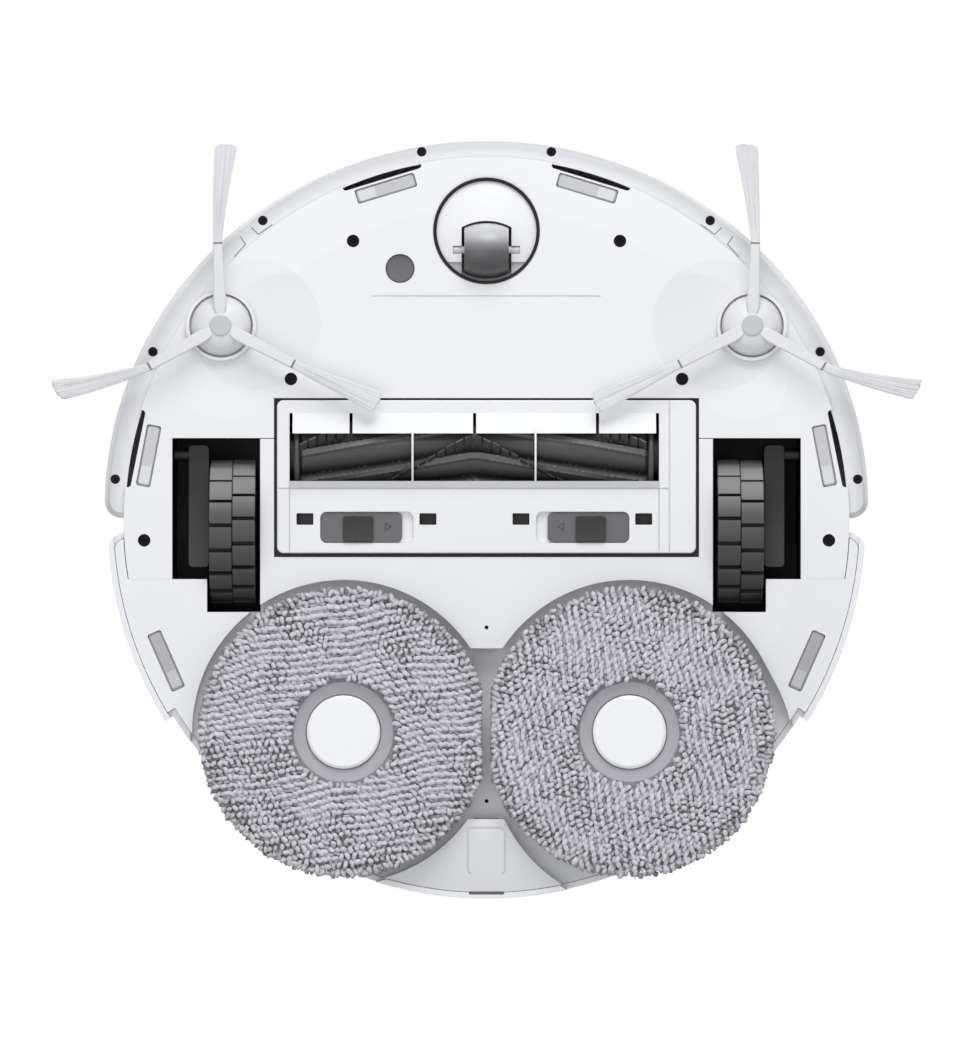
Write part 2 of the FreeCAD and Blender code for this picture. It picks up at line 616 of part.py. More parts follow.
def brush_guard():
    guard = slab((-GUARD_X, GUARD_X), GUARD_Y, GUARD_Z, 3.0)
    guard = softened(guard, 0.7, edges_at(GUARD_Z[0]))
    guard = guard.cut(box(MOUTH_X, MOUTH_Y, (0, 30)))
    low = GUARD_Z[0]
    ramp = across(MOUTH_X, [(COMB_Y[0], low), (COMB_Y[1], low - RAMP_DROP), (COMB_Y[1], GUARD_Z[1]),
                            (COMB_Y[0], GUARD_Z[1])])
    lip = across(MOUTH_X, [(MOUTH_Y[1], low - RAMP_DROP), (LIP_BACK_Y, low), (LIP_BACK_Y, GUARD_Z[1]),
                           (MOUTH_Y[1], GUARD_Z[1])])
    guard = fused(guard, ramp, lip)
    for x in COMB_SLOTS_X + (MOUTH_X[0] + 0.7, MOUTH_X[1] - 0.7):
        guard = guard.cut(box((x - 0.7, x + 0.7), COMB_Y, (0, 30)))
    guard = guard.cut(box((-GUARD_X, 84.2), (LIP_BACK_Y, LIP_BACK_Y + 0.5), (0, low + 0.6)))
    guard = guard.cut(box((84.2, 84.7), GUARD_Y, (0, low + 0.6)))
    for x in MOUTH_X:
        guard = guard.cut(box((x - 0.2, x + 0.2), (LIP_BACK_Y, GUARD_Y[1]), (0, low + 0.5)))
    for x in LATCH_FAR_X:
        start = x - 0.3 if x < 0 else x - LATCH_TRAVEL - 0.3
        end = start + LATCH_LENGTH + LATCH_TRAVEL + 0.6
        pocket = slab((start, end), (LATCH_Y[0] - 0.3, LATCH_Y[1] + 0.3), (0, low + 2.2), 3.0)
        guard = guard.cut(pocket)
    for x in CATCH_X:
        guard = guard.cut(slab((x - 3.9, x + 3.9), (-2.9, 2.4), (0, 30), 0.5))
    bars = tube_along_x(ROLLER_R + 2.0, ROLLER_R + 0.5, (-FAR / 2, FAR / 2), (ROLLER_Y, ROLLER_Z))
    bars = bars.common(box((-FAR, FAR), (COMB_Y[0], MOUTH_Y[1] + 0.6), (0, GUARD_Z[1] - 0.8)))
    guard = guard.cut(rod(ROLLER_R + 0.5, MOUTH_X, (ROLLER_Y, ROLLER_Z)))
    kept = [bars.common(box((x - BAR_W / 2, x + BAR_W / 2), BAY_Y, (0, 30))) for x in BAR_X]
    return fused(guard, *kept)


def tube_along_x(outer, inner, x, at):
    return rod(outer, x, at).cut(rod(inner, x, at))


def latch(index):
    """Sliding latch: a rounded plate, sunk in the guard, with a hollowed grip standing on it."""
    x0 = LATCH_FAR_X[index]
    low = GUARD_Z[0] + LATCH_SINK
    plate = slab((x0, x0 + LATCH_LENGTH), LATCH_Y, (low, GUARD_Z[0] + 2.0), 2.8)
    grip_x = x0 + 10.2 if index == 0 else x0 + 12.9
    grip = slab((grip_x, grip_x + GRIP_WIDTH), (-1.6, 10.2), (low - GRIP_HEIGHT, low + 0.5), 1.4)
    hollow = rod(20, (-FAR, FAR), (4.3, low - GRIP_HEIGHT + 0.7 - 20))
    return fused(plate, grip.cut(hollow))


def roller_core():
    at = (ROLLER_Y, ROLLER_Z)
    return fused(rod(ROLLER_CORE_R, ROLLER_X, at), rod(3.0, (ROLLER_X[0] - 5, ROLLER_X[1] + 8), at))


def roller_fins():
    x = (ROLLER_X[0] + 0.5, ROLLER_X[1] - 0.5)
    return tube_along_x(ROLLER_R, ROLLER_CORE_R, x, (ROLLER_Y, ROLLER_Z))


def roller_end_caps():
    at = (ROLLER_Y, ROLLER_Z)
    spans = ((-91.9, ROLLER_X[0] - 0.4), (ROLLER_X[1] + 0.4, 83.5))
    return [tube_along_x(END_CAP_R, 3.05, x, at) for x in spans]


# ---- side brushes -------------------------------------------------------------------------
def tapered_blade(start, end, half_width, z, thickness):
    """Flat blade along +X between two radii, from half_width[0] to half_width[1], sloping in z."""
    a, b = half_width
    blade = prism([(start, -a), (end, -b), (end, b), (start, a)], (0, thickness))
    slope = math.degrees(math.atan2(z[0] - z[1], end - start))
    blade.rotate(V(start, 0, 0), V(0, 1, 0), slope)
    return moved(blade, z=z[0])


def side_brush(side):
    at = (side * BRUSH_X, BRUSH_Y)
    hub = spun([(0, 3.1), (4.4, 3.1), (5.0, 3.6), (9.5, 4.6), (12.8, 7.0), (BRUSH_HUB_R, 9.8),
                (BRUSH_HUB_R, 11.6), (7.4, 11.6), (7.4, 14.6), (0, 14.6)])
    arms = []
    tufts = []
    for angle in BRUSH_ANGLES:
        turn = angle if side < 0 else 180 - angle
        arms.append(rotated(tapered_blade(3, BRUSH_ARM_END, (2.9, 2.2), (4.2, 2.0), 1.7), turn))
        tuft = tapered_blade(BRUSH_ARM_END, BRUSH_TIP, (1.9, 5.2), (2.1, 0.7), 1.1)
        tufts.append(moved(rotated(tuft, turn), *at))
    return moved(fused(hub, *arms), *at), tufts


# ---- drive wheels -------------------------------------------------------------------------
def drive_unit():
    """Right-hand drive arm, rim, tyre and spring."""
    arm = slab(ARM_X, ARM_Y, ARM_Z, 2.0)
    arm = fused(arm, rod(3.0, (ARM_X[1] - 1, WELL_X[1] - 0.5), SWING_PIN))
    axle_at = (WHEEL_Y, WHEEL_R)
    arm = fused(arm, rod(4.0, (WHEEL_X[0] + 6, ARM_X[0] + 1), axle_at))
    rim_x = (WHEEL_X[0] + 1, WHEEL_X[1] - 0.4)
    rim = rod(RIM_R, rim_x, axle_at).cut(rod(RIM_R - 3, (rim_x[0], rim_x[0] + 4), axle_at))
    rim = rim.cut(rod(RIM_R - 3, (rim_x[1] - 6, rim_x[1]), axle_at))
    rim = fused(rim, rod(9.0, rim_x, axle_at)).cut(rod(4.05, (WHEEL_X[0] + 5.5, FAR), axle_at))
    tyre = tube_along_x(WHEEL_R, RIM_R, WHEEL_X, axle_at)
    return arm, rim, tyre, suspension_spring()


SPRING_Z = (44.4, 69.3)
SPRING_Y = 4.0


def suspension_spring():
    """Coil spring between the drive arm and the roof of the wheel well."""
    coil = Part.makeHelix(4.6, SPRING_Z[1] - SPRING_Z[0] - 1.4, 3.6)
    wire = Part.Wire(Part.makeCircle(0.6, V(3.6, 0, 0), V(0, 1, 0)))
    spring = Part.Wire(coil).makePipeShell([wire], True, True)
    return moved(spring, sum(ARM_X) / 2, SPRING_Y, SPRING_Z[0] + 0.7)


# ---- mops ---------------------------------------------------------------------------------
def mop_pad(side):
    return tube(PAD_R, PAD_HOLE_R, (0, PAD_TOP), (side * MOP_X, MOP_Y))


def mop_plate(side):
    """Turning disc with the pale hub that shows in the pad's middle and the spindle above."""
    low = PAD_TOP + 0.1
    outline = [(0, MOP_HUB_Z), (MOP_HUB_R - 1.2, MOP_HUB_Z), (MOP_HUB_R, MOP_HUB_Z + 0.8), (MOP_HUB_R, low),
               (MOP_PLATE_R, low), (MOP_PLATE_R, low + 3), (SPINDLE_R, low + 3), (SPINDLE_R, 23.7), (0, 23.7)]
    return spun(outline, (side * MOP_X, MOP_Y))


def mop_motor(side):
    at = (side * MOP_X, MOP_Y)
    case = cyl(MOTOR_R, MOTOR_Z, at)
    return fused(case, cyl(8, (MOTOR_Z[1] - 1, MOTOR_Z[1] + 4), at))


def mop_arm():
    """Swinging arm of the right mop: a ring round the motor and a lever to its pivot."""
    at = (MOP_X, MOP_Y)
    ring = cyl(MOTOR_R + 4, (24, 32), at)
    length = math.dist(at, ARM_PIVOT)
    heading = math.degrees(math.atan2(at[1] - ARM_PIVOT[1], at[0] - ARM_PIVOT[0]))
    lever = rotated(box((0, length), (-6, 6), (24, 28)), heading)
    arm = fused(ring, moved(lever, *ARM_PIVOT), cyl(7, (24, 34), ARM_PIVOT))
    return arm.cut(cyl(MOTOR_R + 0.4, (0, 60), at)).cut(cyl(3.05, (0, 60), ARM_PIVOT))


# ---- inner pieces -------------------------------------------------------------------------
def dust_bin():
    """Bin with an inlet over the duct and an opening for the filter behind."""
    inner_x = BIN_X - BIN_WALL
    inner_y, inner_z = [(low + BIN_WALL, high - BIN_WALL) for low, high in (BIN_Y, BIN_Z)]
    dust_box = slab((-BIN_X, BIN_X), BIN_Y, BIN_Z, 6)
    dust_box = dust_box.cut(box((-inner_x, inner_x), inner_y, inner_z))
    dust_box = dust_box.cut(box((-INLET_X, INLET_X), INLET_Y, (50, BIN_Z[0] + 3)))
    return dust_box.cut(box((-56, 56), (BIN_Y[1] - 5, BIN_Y[1] + 5), (58, 73)))


def dust_filter():
    panel = box((-60, 60), (BIN_Y[1] + 0.1, BIN_Y[1] + 10), (56, 75))
    for step in range(PLEATS):
        x = (step - PLEATS // 2) * PLEAT_PITCH
        panel = panel.cut(box((x - 2.5, x + 2.5), (BIN_Y[1] + 1.5, BIN_Y[1] + 11), (58, 73)))
    return panel


def battery():
    """Eight cells in two blocks of four."""
    half = CELL_LENGTH / 2
    return [rod(CELL_R, (s * CELL_X - half, s * CELL_X + half), (y, z))
            for s in (1, -1) for y in (-87.2, -68.4) for z in (24.0, 42.8)]


def suction_fan():
    body = cyl(27, (25, 44), (0, 48))
    eye = cyl(14, (44, 54), (0, 48))
    return fused(body, eye).cut(cyl(12, (30, 60), (0, 48)))


def water_tank():
    """Crescent tank above the mop motors, with a filler hole."""
    def crescent(inset, z):
        outer = cyl(166 - inset, z).common(box((-100 + inset, 100 - inset), (84 + inset, FAR), z))
        return outer.cut(cyl(48 + inset, z, (0, TURRET_Y)))
    tank = crescent(0, (59, 76)).cut(crescent(2, (61, 74)))
    return tank.cut(cyl(5, (70, 80), (-60, 130)))


def main_board():
    board = box((-92, 92), (22, 80), (56.4, 58))
    chips = [box((x, x + 12), (y, y + 12), (58, 59.4)) for x in (-80, -50, 40, 70) for y in (30, 58)]
    return fused(board, *chips)


def side_brush_gearboxes():
    """Output boss above each side brush and a gear case set inwards from it."""
    inward = 0.905
    solids = []
    for s in (1, -1):
        boss = cyl(6.5, (15.0, 24), (s * BRUSH_X, BRUSH_Y))
        case = cyl(19, (20, 46), (s * BRUSH_X * inward, BRUSH_Y * inward))
        solids.append(fused(boss, case))
    return solids


def roller_gearbox():
    return slab((86, 99), (-52, -8), (15.6, 44), 3)


def lidar_turret():
    """Fixed turret: a base ring and a roof held on four pillars."""
    at = (0, TURRET_Y)
    base = tube(TURRET_R, 30, (DECK_TOP, DECK_TOP + 2.6), at)
    base = fused(base, tube(TURRET_R - 8.2, 30, (DECK_TOP - WALL, DECK_TOP + 1), at))
    roof = softened(cyl(TURRET_R, (TURRET_TOP - 5, TURRET_TOP), at), 3.0, edges_at(TURRET_TOP))
    reach = TURRET_R - 3.4
    pillars = [cyl(2.4, (DECK_TOP + 2, TURRET_TOP - 4), (reach * math.cos(a), TURRET_Y + reach * math.sin(a)))
               for a in [math.radians(45 + 90 * k) for k in range(4)]]
    return fused(base, roof, *pillars)


def lidar_rotor():
    at = (0, TURRET_Y)
    rotor = cyl(37, (DECK_TOP + 3.2, TURRET_TOP - 5.6), at)
    flats = box((-40, 40), (TURRET_Y - 40, TURRET_Y - 31), (DECK_TOP + 3.2, TURRET_TOP - 5))
    rotor = rotor.cut(flats)
    for x in (-12, 12):
        rotor = rotor.cut(Part.makeCylinder(6, 4, V(x, TURRET_Y - 32, DECK_TOP + 9.2), V(0, 1, 0)))
    return fused(rotor, cyl(12, (DECK_TOP - 8, DECK_TOP + 4), at))


def deck_button(x):
    at = (x, BUTTON_Y)
    cap = softened(cyl(BUTTON_R, (DECK_TOP - 4, DECK_TOP + 0.6), at), 0.5, edges_at(DECK_TOP + 0.6))
    return fused(cap, cyl(BUTTON_R + 1.6, (DECK_TOP - WALL - 2.2, DECK_TOP - WALL - 0.2), at))


# ---- build --------------------------------------------------------------------------------
os.makedirs("parts", exist_ok=True)

save("front_base_plate", front_base_plate())
save("rear_base_cover", rear_base_cover())
save("upper_shell", upper_shell())
save("top_cover", top_cover())
bumper, bumper_window, bumper_screws = bumper_parts()
save("bumper", bumper)
save("bumper_window", bumper_window)
save("bumper_screws", *bumper_screws)
save("cliff_windows", *cliff_windows())
save("floor_sensor_window", cyl(FLOOR_SENSOR_R, (FLOOR_GAP + 0.6, FLOOR_GAP + 2.2), FLOOR_SENSOR))
save("base_screws", *base_screws())
save("brush_bay", brush_bay())
save("caster_socket", caster_socket())
save("caster_fork", caster_fork())
save("caster_wheel", caster_wheel())
save("caster_axle", caster_axle())
save("brush_guard", brush_guard())
save("latch_left", latch(0))
save("latch_right", latch(1))
save("roller_core", roller_core())
save("roller_fins", roller_fins())
save("roller_end_caps", *roller_end_caps())
save("rear_window", box(*REAR_WINDOW_XY, (13.6, 24)))
save("charge_contacts", *contact_plates())
save("dust_bin", dust_bin())
save("dust_filter", dust_filter())
save("battery", *battery())
save("suction_fan", suction_fan())
save("water_tank", water_tank())
save("main_board", main_board())
save("side_brush_gearboxes", *side_brush_gearboxes())
save("roller_gearbox", roller_gearbox())
save("lidar_turret", lidar_turret())
save("lidar_rotor", lidar_rotor())
save("power_button", deck_button(-BUTTON_X))
save("home_button", deck_button(BUTTON_X))
save("mop_arm_right", mop_arm())

wells = wheel_wells()
drive = drive_unit()
for name, side in (("right", 1), ("left", -1)):
    save("wheel_well_" + name, wells[0] if side > 0 else wells[1])
    for piece, solid in zip(("drive_arm_", "drive_rim_", "drive_tyre_", "suspension_spring_"), drive):
        save(piece + name, solid if side > 0 else mirrored(solid))
    hub, tufts = side_brush(side)
    save("side_brush_hub_" + name, hub)
    save("side_brush_bristles_" + name, *tufts)
    save("mop_pad_" + name, mop_pad(side))
    save("mop_plate_" + name, mop_plate(side))
    save("mop_motor_" + name, mop_motor(side))
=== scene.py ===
"""Looks of the robot vacuum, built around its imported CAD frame. Metres, +Z up, bumper towards -Y."""
import math
import random

import bmesh
import bpy
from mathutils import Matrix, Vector
from mathutils.noise import noise as noise_value


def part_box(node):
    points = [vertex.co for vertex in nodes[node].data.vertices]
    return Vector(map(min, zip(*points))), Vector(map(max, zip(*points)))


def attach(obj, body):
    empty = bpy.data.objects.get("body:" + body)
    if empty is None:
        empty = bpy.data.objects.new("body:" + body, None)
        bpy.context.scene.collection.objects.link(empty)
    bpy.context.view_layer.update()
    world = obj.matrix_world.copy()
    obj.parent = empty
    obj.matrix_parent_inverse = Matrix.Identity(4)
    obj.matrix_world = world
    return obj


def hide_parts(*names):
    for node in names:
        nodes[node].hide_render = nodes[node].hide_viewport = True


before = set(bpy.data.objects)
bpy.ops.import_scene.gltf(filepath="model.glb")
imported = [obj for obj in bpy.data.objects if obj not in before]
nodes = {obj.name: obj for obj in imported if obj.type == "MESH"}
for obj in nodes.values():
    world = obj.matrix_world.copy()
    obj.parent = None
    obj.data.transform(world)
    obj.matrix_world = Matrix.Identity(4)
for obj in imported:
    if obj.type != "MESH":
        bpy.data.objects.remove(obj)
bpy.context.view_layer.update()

MM = 0.001

# ---- camera and light ---------------------------------------------------------------------
VIEW_HEIGHT = 0.4799        # what the frame's long side covers on the plane of the base
LENS = 300.0
SENSOR = 36.0
CAMERA_X, CAMERA_Y = -0.0007, 0.0002
BASE_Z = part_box("front_base_plate")[0].z
HORIZON_LIGHT, ZENITH_LIGHT = 0.40, 0.76    # world strength sideways, and straight up or down
FLOOR_HALF = 6.0


def make_camera():
    """Looks straight up at the underside from far below, with the bumper at the top."""
    data = bpy.data.cameras.new("camera")
    data.lens = LENS
    data.sensor_width = SENSOR
    data.clip_start = 0.1
    data.clip_end = 40.0
    camera = bpy.data.objects.new("camera", data)
    distance = VIEW_HEIGHT / SENSOR * LENS
    camera.location = (CAMERA_X, CAMERA_Y, BASE_Z - distance)
    camera.rotation_euler = (math.pi, 0, 0)
    bpy.context.scene.collection.objects.link(camera)
    bpy.context.scene.camera = camera


def soft_light(name, place, size, watts):
    """Round area light that faces the origin."""
    data = bpy.data.lights.new(name, "AREA")
    data.shape = "DISK"
    data.size = size
    data.energy = watts
    light = bpy.data.objects.new(name, data)
    light.location = place
    light.rotation_euler = (-Vector(place)).to_track_quat("-Z", "Y").to_euler()
    light.visible_camera = False
    bpy.context.scene.collection.objects.link(light)


def make_lights():
    soft_light("key_below", (0.1, -1.2, -0.8), 0.9, 11)
    soft_light("fill_below", (-0.5, 0.2, -1.3), 1.2, 3)
    soft_light("key_above", (-0.9, -0.9, 1.5), 1.0, 8)
    soft_light("fill_above", (1.2, 0.6, 1.1), 1.4, 2)


def make_world():
    """White to the camera; to everything else a soft light, dimmer towards the horizon."""
    world = bpy.data.worlds.new("studio")
    bpy.context.scene.world = world
    world.use_nodes = True
    tree = world.node_tree
    tree.nodes.clear()
    seen = tree.nodes.new("ShaderNodeBackground")
    seen.inputs["Color"].default_value = (1, 1, 1, 1)
    even = tree.nodes.new("ShaderNodeBackground")
    even.inputs["Color"].default_value = (0.97, 0.98, 1.0, 1)
    where = tree.nodes.new("ShaderNodeTexCoord")
    split = tree.nodes.new("ShaderNodeSeparateXYZ")
    steep = tree.nodes.new("ShaderNodeMath")
    steep.operation = "ABSOLUTE"
    level = tree.nodes.new("ShaderNodeMapRange")
    level.inputs["To Min"].default_value = HORIZON_LIGHT
    level.inputs["To Max"].default_value = ZENITH_LIGHT
    tree.links.new(where.outputs["Generated"], split.inputs[0])
    tree.links.new(split.outputs["Z"], steep.inputs[0])
    tree.links.new(steep.outputs[0], level.inputs["Value"])
    tree.links.new(level.outputs["Result"], even.inputs["Strength"])
    path = tree.nodes.new("ShaderNodeLightPath")
    mix = tree.nodes.new("ShaderNodeMixShader")
    out = tree.nodes.new("ShaderNodeOutputWorld")
    tree.links.new(path.outputs["Is Camera Ray"], mix.inputs[0])
    tree.links.new(even.outputs[0], mix.inputs[1])
    tree.links.new(seen.outputs[0], mix.inputs[2])
    tree.links.new(mix.outputs[0], out.inputs[0])


def make_floor():
    """Pale floor seen only from above: from below it lets the camera and the light through."""
    mesh = bpy.data.meshes.new("floor")
    corners = [(x * FLOOR_HALF, y * FLOOR_HALF, 0) for x, y in ((-1, -1), (1, -1), (1, 1), (-1, 1))]
    mesh.from_pydata(corners, [], [(0, 1, 2, 3)])
    floor = bpy.data.objects.new("floor", mesh)
    bpy.context.scene.collection.objects.link(floor)
    material = bpy.data.materials.new("floor")
    material.use_nodes = True
    tree = material.node_tree
    pale = tree.nodes["Principled BSDF"]
    pale.inputs["Base Color"].default_value = (0.7, 0.7, 0.71, 1)
    pale.inputs["Roughness"].default_value = 0.9
    side = tree.nodes.new("ShaderNodeNewGeometry")
    clear = tree.nodes.new("ShaderNodeBsdfTransparent")
    mix = tree.nodes.new("ShaderNodeMixShader")
    tree.links.new(side.outputs["Backfacing"], mix.inputs[0])
    tree.links.new(pale.outputs[0], mix.inputs[1])
    tree.links.new(clear.outputs[0], mix.inputs[2])
    tree.links.new(mix.outputs[0], tree.nodes["Material Output"].inputs[0])
    mesh.materials.append(material)
    floor.visible_shadow = False
    floor.visible_diffuse = False
    floor.visible_glossy = False
    floor.visible_transmission = False


# ---- material helpers ---------------------------------------------------------------------
NOISE_LOW, NOISE_HIGH = 0.3, 0.7        # where nearly all of a noise's values lie
GREY_TINT = 0.012                       # greys lean this much towards blue


def middle(node):
    """Centre of a CAD node's box."""
    low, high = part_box(node)
    return (Vector(low) + Vector(high)) / 2


def new_material(name):
    material = bpy.data.materials.new(name)
    material.use_nodes = True
    return material, material.node_tree, material.node_tree.nodes["Principled BSDF"]


def own_space(tree):
    """Coordinates of the piece's own space."""
    return tree.nodes.new("ShaderNodeTexCoord").outputs["Object"]


def noise(tree, scale, detail, rough=0.5):
    """Noise that keeps to the piece's own space."""
    node = tree.nodes.new("ShaderNodeTexNoise")
    node.inputs["Scale"].default_value = scale
    node.inputs["Detail"].default_value = detail
    node.inputs["Roughness"].default_value = rough
    tree.links.new(own_space(tree), node.inputs["Vector"])
    return node.outputs["Fac"]


def blend_colours(tree, factor, low, high, shader):
    """Base colour that runs from low to high as a noise runs over its usual range."""
    ramp = tree.nodes.new("ShaderNodeValToRGB")
    for step, place, colour in zip(ramp.color_ramp.elements, (NOISE_LOW, NOISE_HIGH), (low, high)):
        step.position = place
        step.color = (*colour, 1)
    tree.links.new(factor, ramp.inputs["Fac"])
    tree.links.new(ramp.outputs["Color"], shader.inputs["Base Color"])


def spread(tree, factor, low, high, socket):
    """Links a noise to a socket, stretched to run from low to high."""
    node = tree.nodes.new("ShaderNodeMapRange")
    node.inputs["From Min"].default_value = NOISE_LOW
    node.inputs["From Max"].default_value = NOISE_HIGH
    node.inputs["To Min"].default_value = low
    node.inputs["To Max"].default_value = high
    tree.links.new(factor, node.inputs["Value"])
    tree.links.new(node.outputs["Result"], socket)


def add_bump(tree, height, distance, shader, edge=0.0):
    """Bumps the surface by a height; a radius for edge also rounds the sharp edges a little."""
    bump = tree.nodes.new("ShaderNodeBump")
    bump.inputs["Distance"].default_value = distance
    tree.links.new(height, bump.inputs["Height"])
    if edge:
        bevel = tree.nodes.new("ShaderNodeBevel")
        bevel.samples = 3
        bevel.inputs["Radius"].default_value = edge
        tree.links.new(bevel.outputs["Normal"], bump.inputs["Normal"])
    tree.links.new(bump.outputs["Normal"], shader.inputs["Normal"])


def plastic(name, low, high, rough, grain=2200.0, depth=0.00002, coat=0.0, edge=0.0004, specular=0.5):
    """Moulded plastic: faint cloudiness, a fine grain in the surface and uneven gloss."""
    material, tree, shader = new_material(name)
    blend_colours(tree, noise(tree, 9.0, 3.0), low, high, shader)
    spread(tree, noise(tree, 60.0, 4.0), rough - 0.05, rough + 0.05, shader.inputs["Roughness"])
    shader.inputs["Coat Weight"].default_value = coat
    shader.inputs["Coat Roughness"].default_value = 0.15
    shader.inputs["Specular IOR Level"].default_value = specular
    add_bump(tree, noise(tree, grain, 1.0), depth, shader, edge=edge)
    return material


def shade(material, value, stops):
    """Multiplies the base colour by greys set out along a coordinate; stops are (place, grey)."""
    tree = material.node_tree
    shader = tree.nodes["Principled BSDF"]
    low, high = stops[0][0], stops[-1][0]
    span = tree.nodes.new("ShaderNodeMapRange")
    span.inputs["From Min"].default_value = low
    span.inputs["From Max"].default_value = high
    tree.links.new(value, span.inputs["Value"])
    ramp = tree.nodes.new("ShaderNodeValToRGB")
    steps = ramp.color_ramp.elements
    while len(steps) < len(stops):
        steps.new(0.5)
    for step, (place, level) in zip(steps, stops):
        step.position = (place - low) / (high - low)
        step.color = (level, level, level, 1)
    tree.links.new(span.outputs["Result"], ramp.inputs["Fac"])
    product = tree.nodes.new("ShaderNodeMixRGB")
    product.blend_type = "MULTIPLY"
    product.inputs["Fac"].default_value = 1.0
    tree.links.new(shader.inputs["Base Color"].links[0].from_socket, product.inputs["Color1"])
    tree.links.new(ramp.outputs["Color"], product.inputs["Color2"])
    tree.links.new(product.outputs["Color"], shader.inputs["Base Color"])


def shade_along(material, axis, stops):
    """Shading by one coordinate of the piece's own space."""
    tree = material.node_tree
    place = own_space(tree)
    split = tree.nodes.new("ShaderNodeSeparateXYZ")
    tree.links.new(place, split.inputs[0])
    shade(material, split.outputs[axis], stops)


def shade_from(material, centre, stops, keep=(1, 1, 0), mirrored=False):
    """Shading by the distance from a line through the centre; keep is 0 along the line.

    mirrored also shades about the centre's mirror images.
    """
    tree = material.node_tree
    flat = tree.nodes.new("ShaderNodeVectorMath")
    flat.operation = "MULTIPLY"
    flat.inputs[1].default_value = keep
    tree.links.new(own_space(tree), flat.inputs[0])
    if mirrored:
        folded = tree.nodes.new("ShaderNodeVectorMath")
        folded.operation = "ABSOLUTE"
        tree.links.new(flat.outputs["Vector"], folded.inputs[0])
        flat = folded
    gap = tree.nodes.new("ShaderNodeVectorMath")
    gap.operation = "DISTANCE"
    gap.inputs[1].default_value = [c * k for c, k in zip(centre, keep)]
    tree.links.new(flat.outputs["Vector"], gap.inputs[0])
    shade(material, gap.outputs["Value"], stops)


def grey(value):
    """Almost neutral grey, a trace bluer than it is red."""
    return (value, value + GREY_TINT * value * 0.4, value + GREY_TINT * value * 2)


def make_metallic(material):
    material.node_tree.nodes["Principled BSDF"].inputs["Metallic"].default_value = 1.0


def chenille_yarn():
    """Fibrous, fluffy yarn with painted shade: pale near the floor, dark higher up in the creases."""
    material, tree, shader = new_material("mop_chenille")
    blend_colours(tree, noise(tree, 420.0, 3.0, 0.7), (0.60, 0.595, 0.64), (0.84, 0.835, 0.88), shader)
    shader.inputs["Roughness"].default_value = 0.95
    shader.inputs["Specular IOR Level"].default_value = 0.1
    add_bump(tree, noise(tree, 1500.0, 4.0, 0.75), 0.0005, shader)
    # Painted shade: the yarn is painted darker the higher it lies, down in the creases.
    shade_along(material, "Z", ((0.0002, 1.0), (0.0014, 0.97), (0.0022, 0.74), (0.0031, 0.45),
                                (0.0042, 0.34)))
    return material


# ---- materials ----------------------------------------------------------------------------
# Places in a material's stops are metres in the frame.
WHITE = grey(0.80), grey(0.84)
WHITE_ROUGH = 0.36
white = plastic("white_shell", *WHITE, WHITE_ROUGH)

# Painted shade: the bumper is painted darker over its rounded lower edge, which turns from the light.
white_bumper = plastic("white_bumper", grey(0.78), grey(0.82), 0.40)
shade_from(white_bumper, (0, 0, 0), ((0.166, 1.0), (0.169, 0.95), (0.1725, 0.82), (0.1748, 0.76),
                                     (0.1762, 0.95)))

# Painted shade: each side brush's dished place is painted a touch darker than the plate round it.
DISHED_PLACE = (0.1065, 0.09, 0)
white_front = plastic("white_front", *WHITE, WHITE_ROUGH)
shade_from(white_front, DISHED_PLACE, ((0.027, 0.955), (0.0297, 0.955), (0.0304, 1.0)), mirrored=True)

# Painted shade: the rear cover is painted darker towards its rear edge, which turns from the light.
white_rear = plastic("white_rear", *WHITE, WHITE_ROUGH)
shade_along(white_rear, "Y", ((0.139, 1.0), (0.150, 0.92), (0.172, 0.83)))

black = plastic("black_plastic", grey(0.008), grey(0.012), 0.5)
dark_grey = plastic("dark_grey_plastic", grey(0.045), grey(0.06), 0.42)

# The latches' outer face is dark round a paler hollow for the finger.
LATCH_GRIP = 1.7 * MM
GRIP_EDGE = 0.25 * MM
latch_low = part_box("latch_left")[0].z
grip_top = latch_low + LATCH_GRIP
latch_grey = plastic("latch_grey", grey(0.125), grey(0.145), 0.45)
shade_along(latch_grey, "Z", ((latch_low, 0.2), (grip_top - GRIP_EDGE, 0.2), (grip_top, 1.0)))

metal = plastic("steel", grey(0.45), grey(0.5), 0.3)
make_metallic(metal)

# Painted shade: the drive arms are painted darkest at the front, deep in the well.
arm_grey = plastic("drive_arm", grey(0.03), grey(0.038), 0.45)
shade_along(arm_grey, "Y", ((-0.035, 0.02), (-0.018, 0.2), (-0.002, 0.7), (0.008, 1.0)))
# Painted highlight: the caster wheel is painted pale at its front, where the light falls, dark to the rear.
wheel_grey = plastic("caster_wheel_grey", grey(0.66), grey(0.70), 0.35, edge=0.0)
shade_along(wheel_grey, "Y", ((-0.1365, 1.0), (-0.131, 0.72), (-0.127, 0.34), (-0.1235, 0.15),
                              (-0.112, 0.11)))

# Painted shade: the caster disc's lowest face stays pale; what rises behind it is painted greyer.
white_fork = plastic("white_fork", grey(0.82), grey(0.86), WHITE_ROUGH)
shade_along(white_fork, "Z", ((0.0120, 1.0), (0.01245, 1.0), (0.01255, 0.6), (0.0130, 0.6)))
stub_pale = plastic("stub_pale", grey(0.6), grey(0.65), 0.35)
ring_grey = plastic("caster_ring_grey", grey(0.012), grey(0.018), 0.5, specular=0.3)
screw_black = plastic("black_screw", grey(0.005), grey(0.009), 0.55, edge=0.0, specular=0.16)
contact = plastic("contact", (0.75, 0.55, 0.25), (0.8, 0.6, 0.3), 0.3)
make_metallic(contact)

window_grey = plastic("sensor_window", grey(0.52), grey(0.57), 0.2, coat=0.5)
window_dark = plastic("dark_window", grey(0.02), grey(0.03), 0.12, coat=1.0)

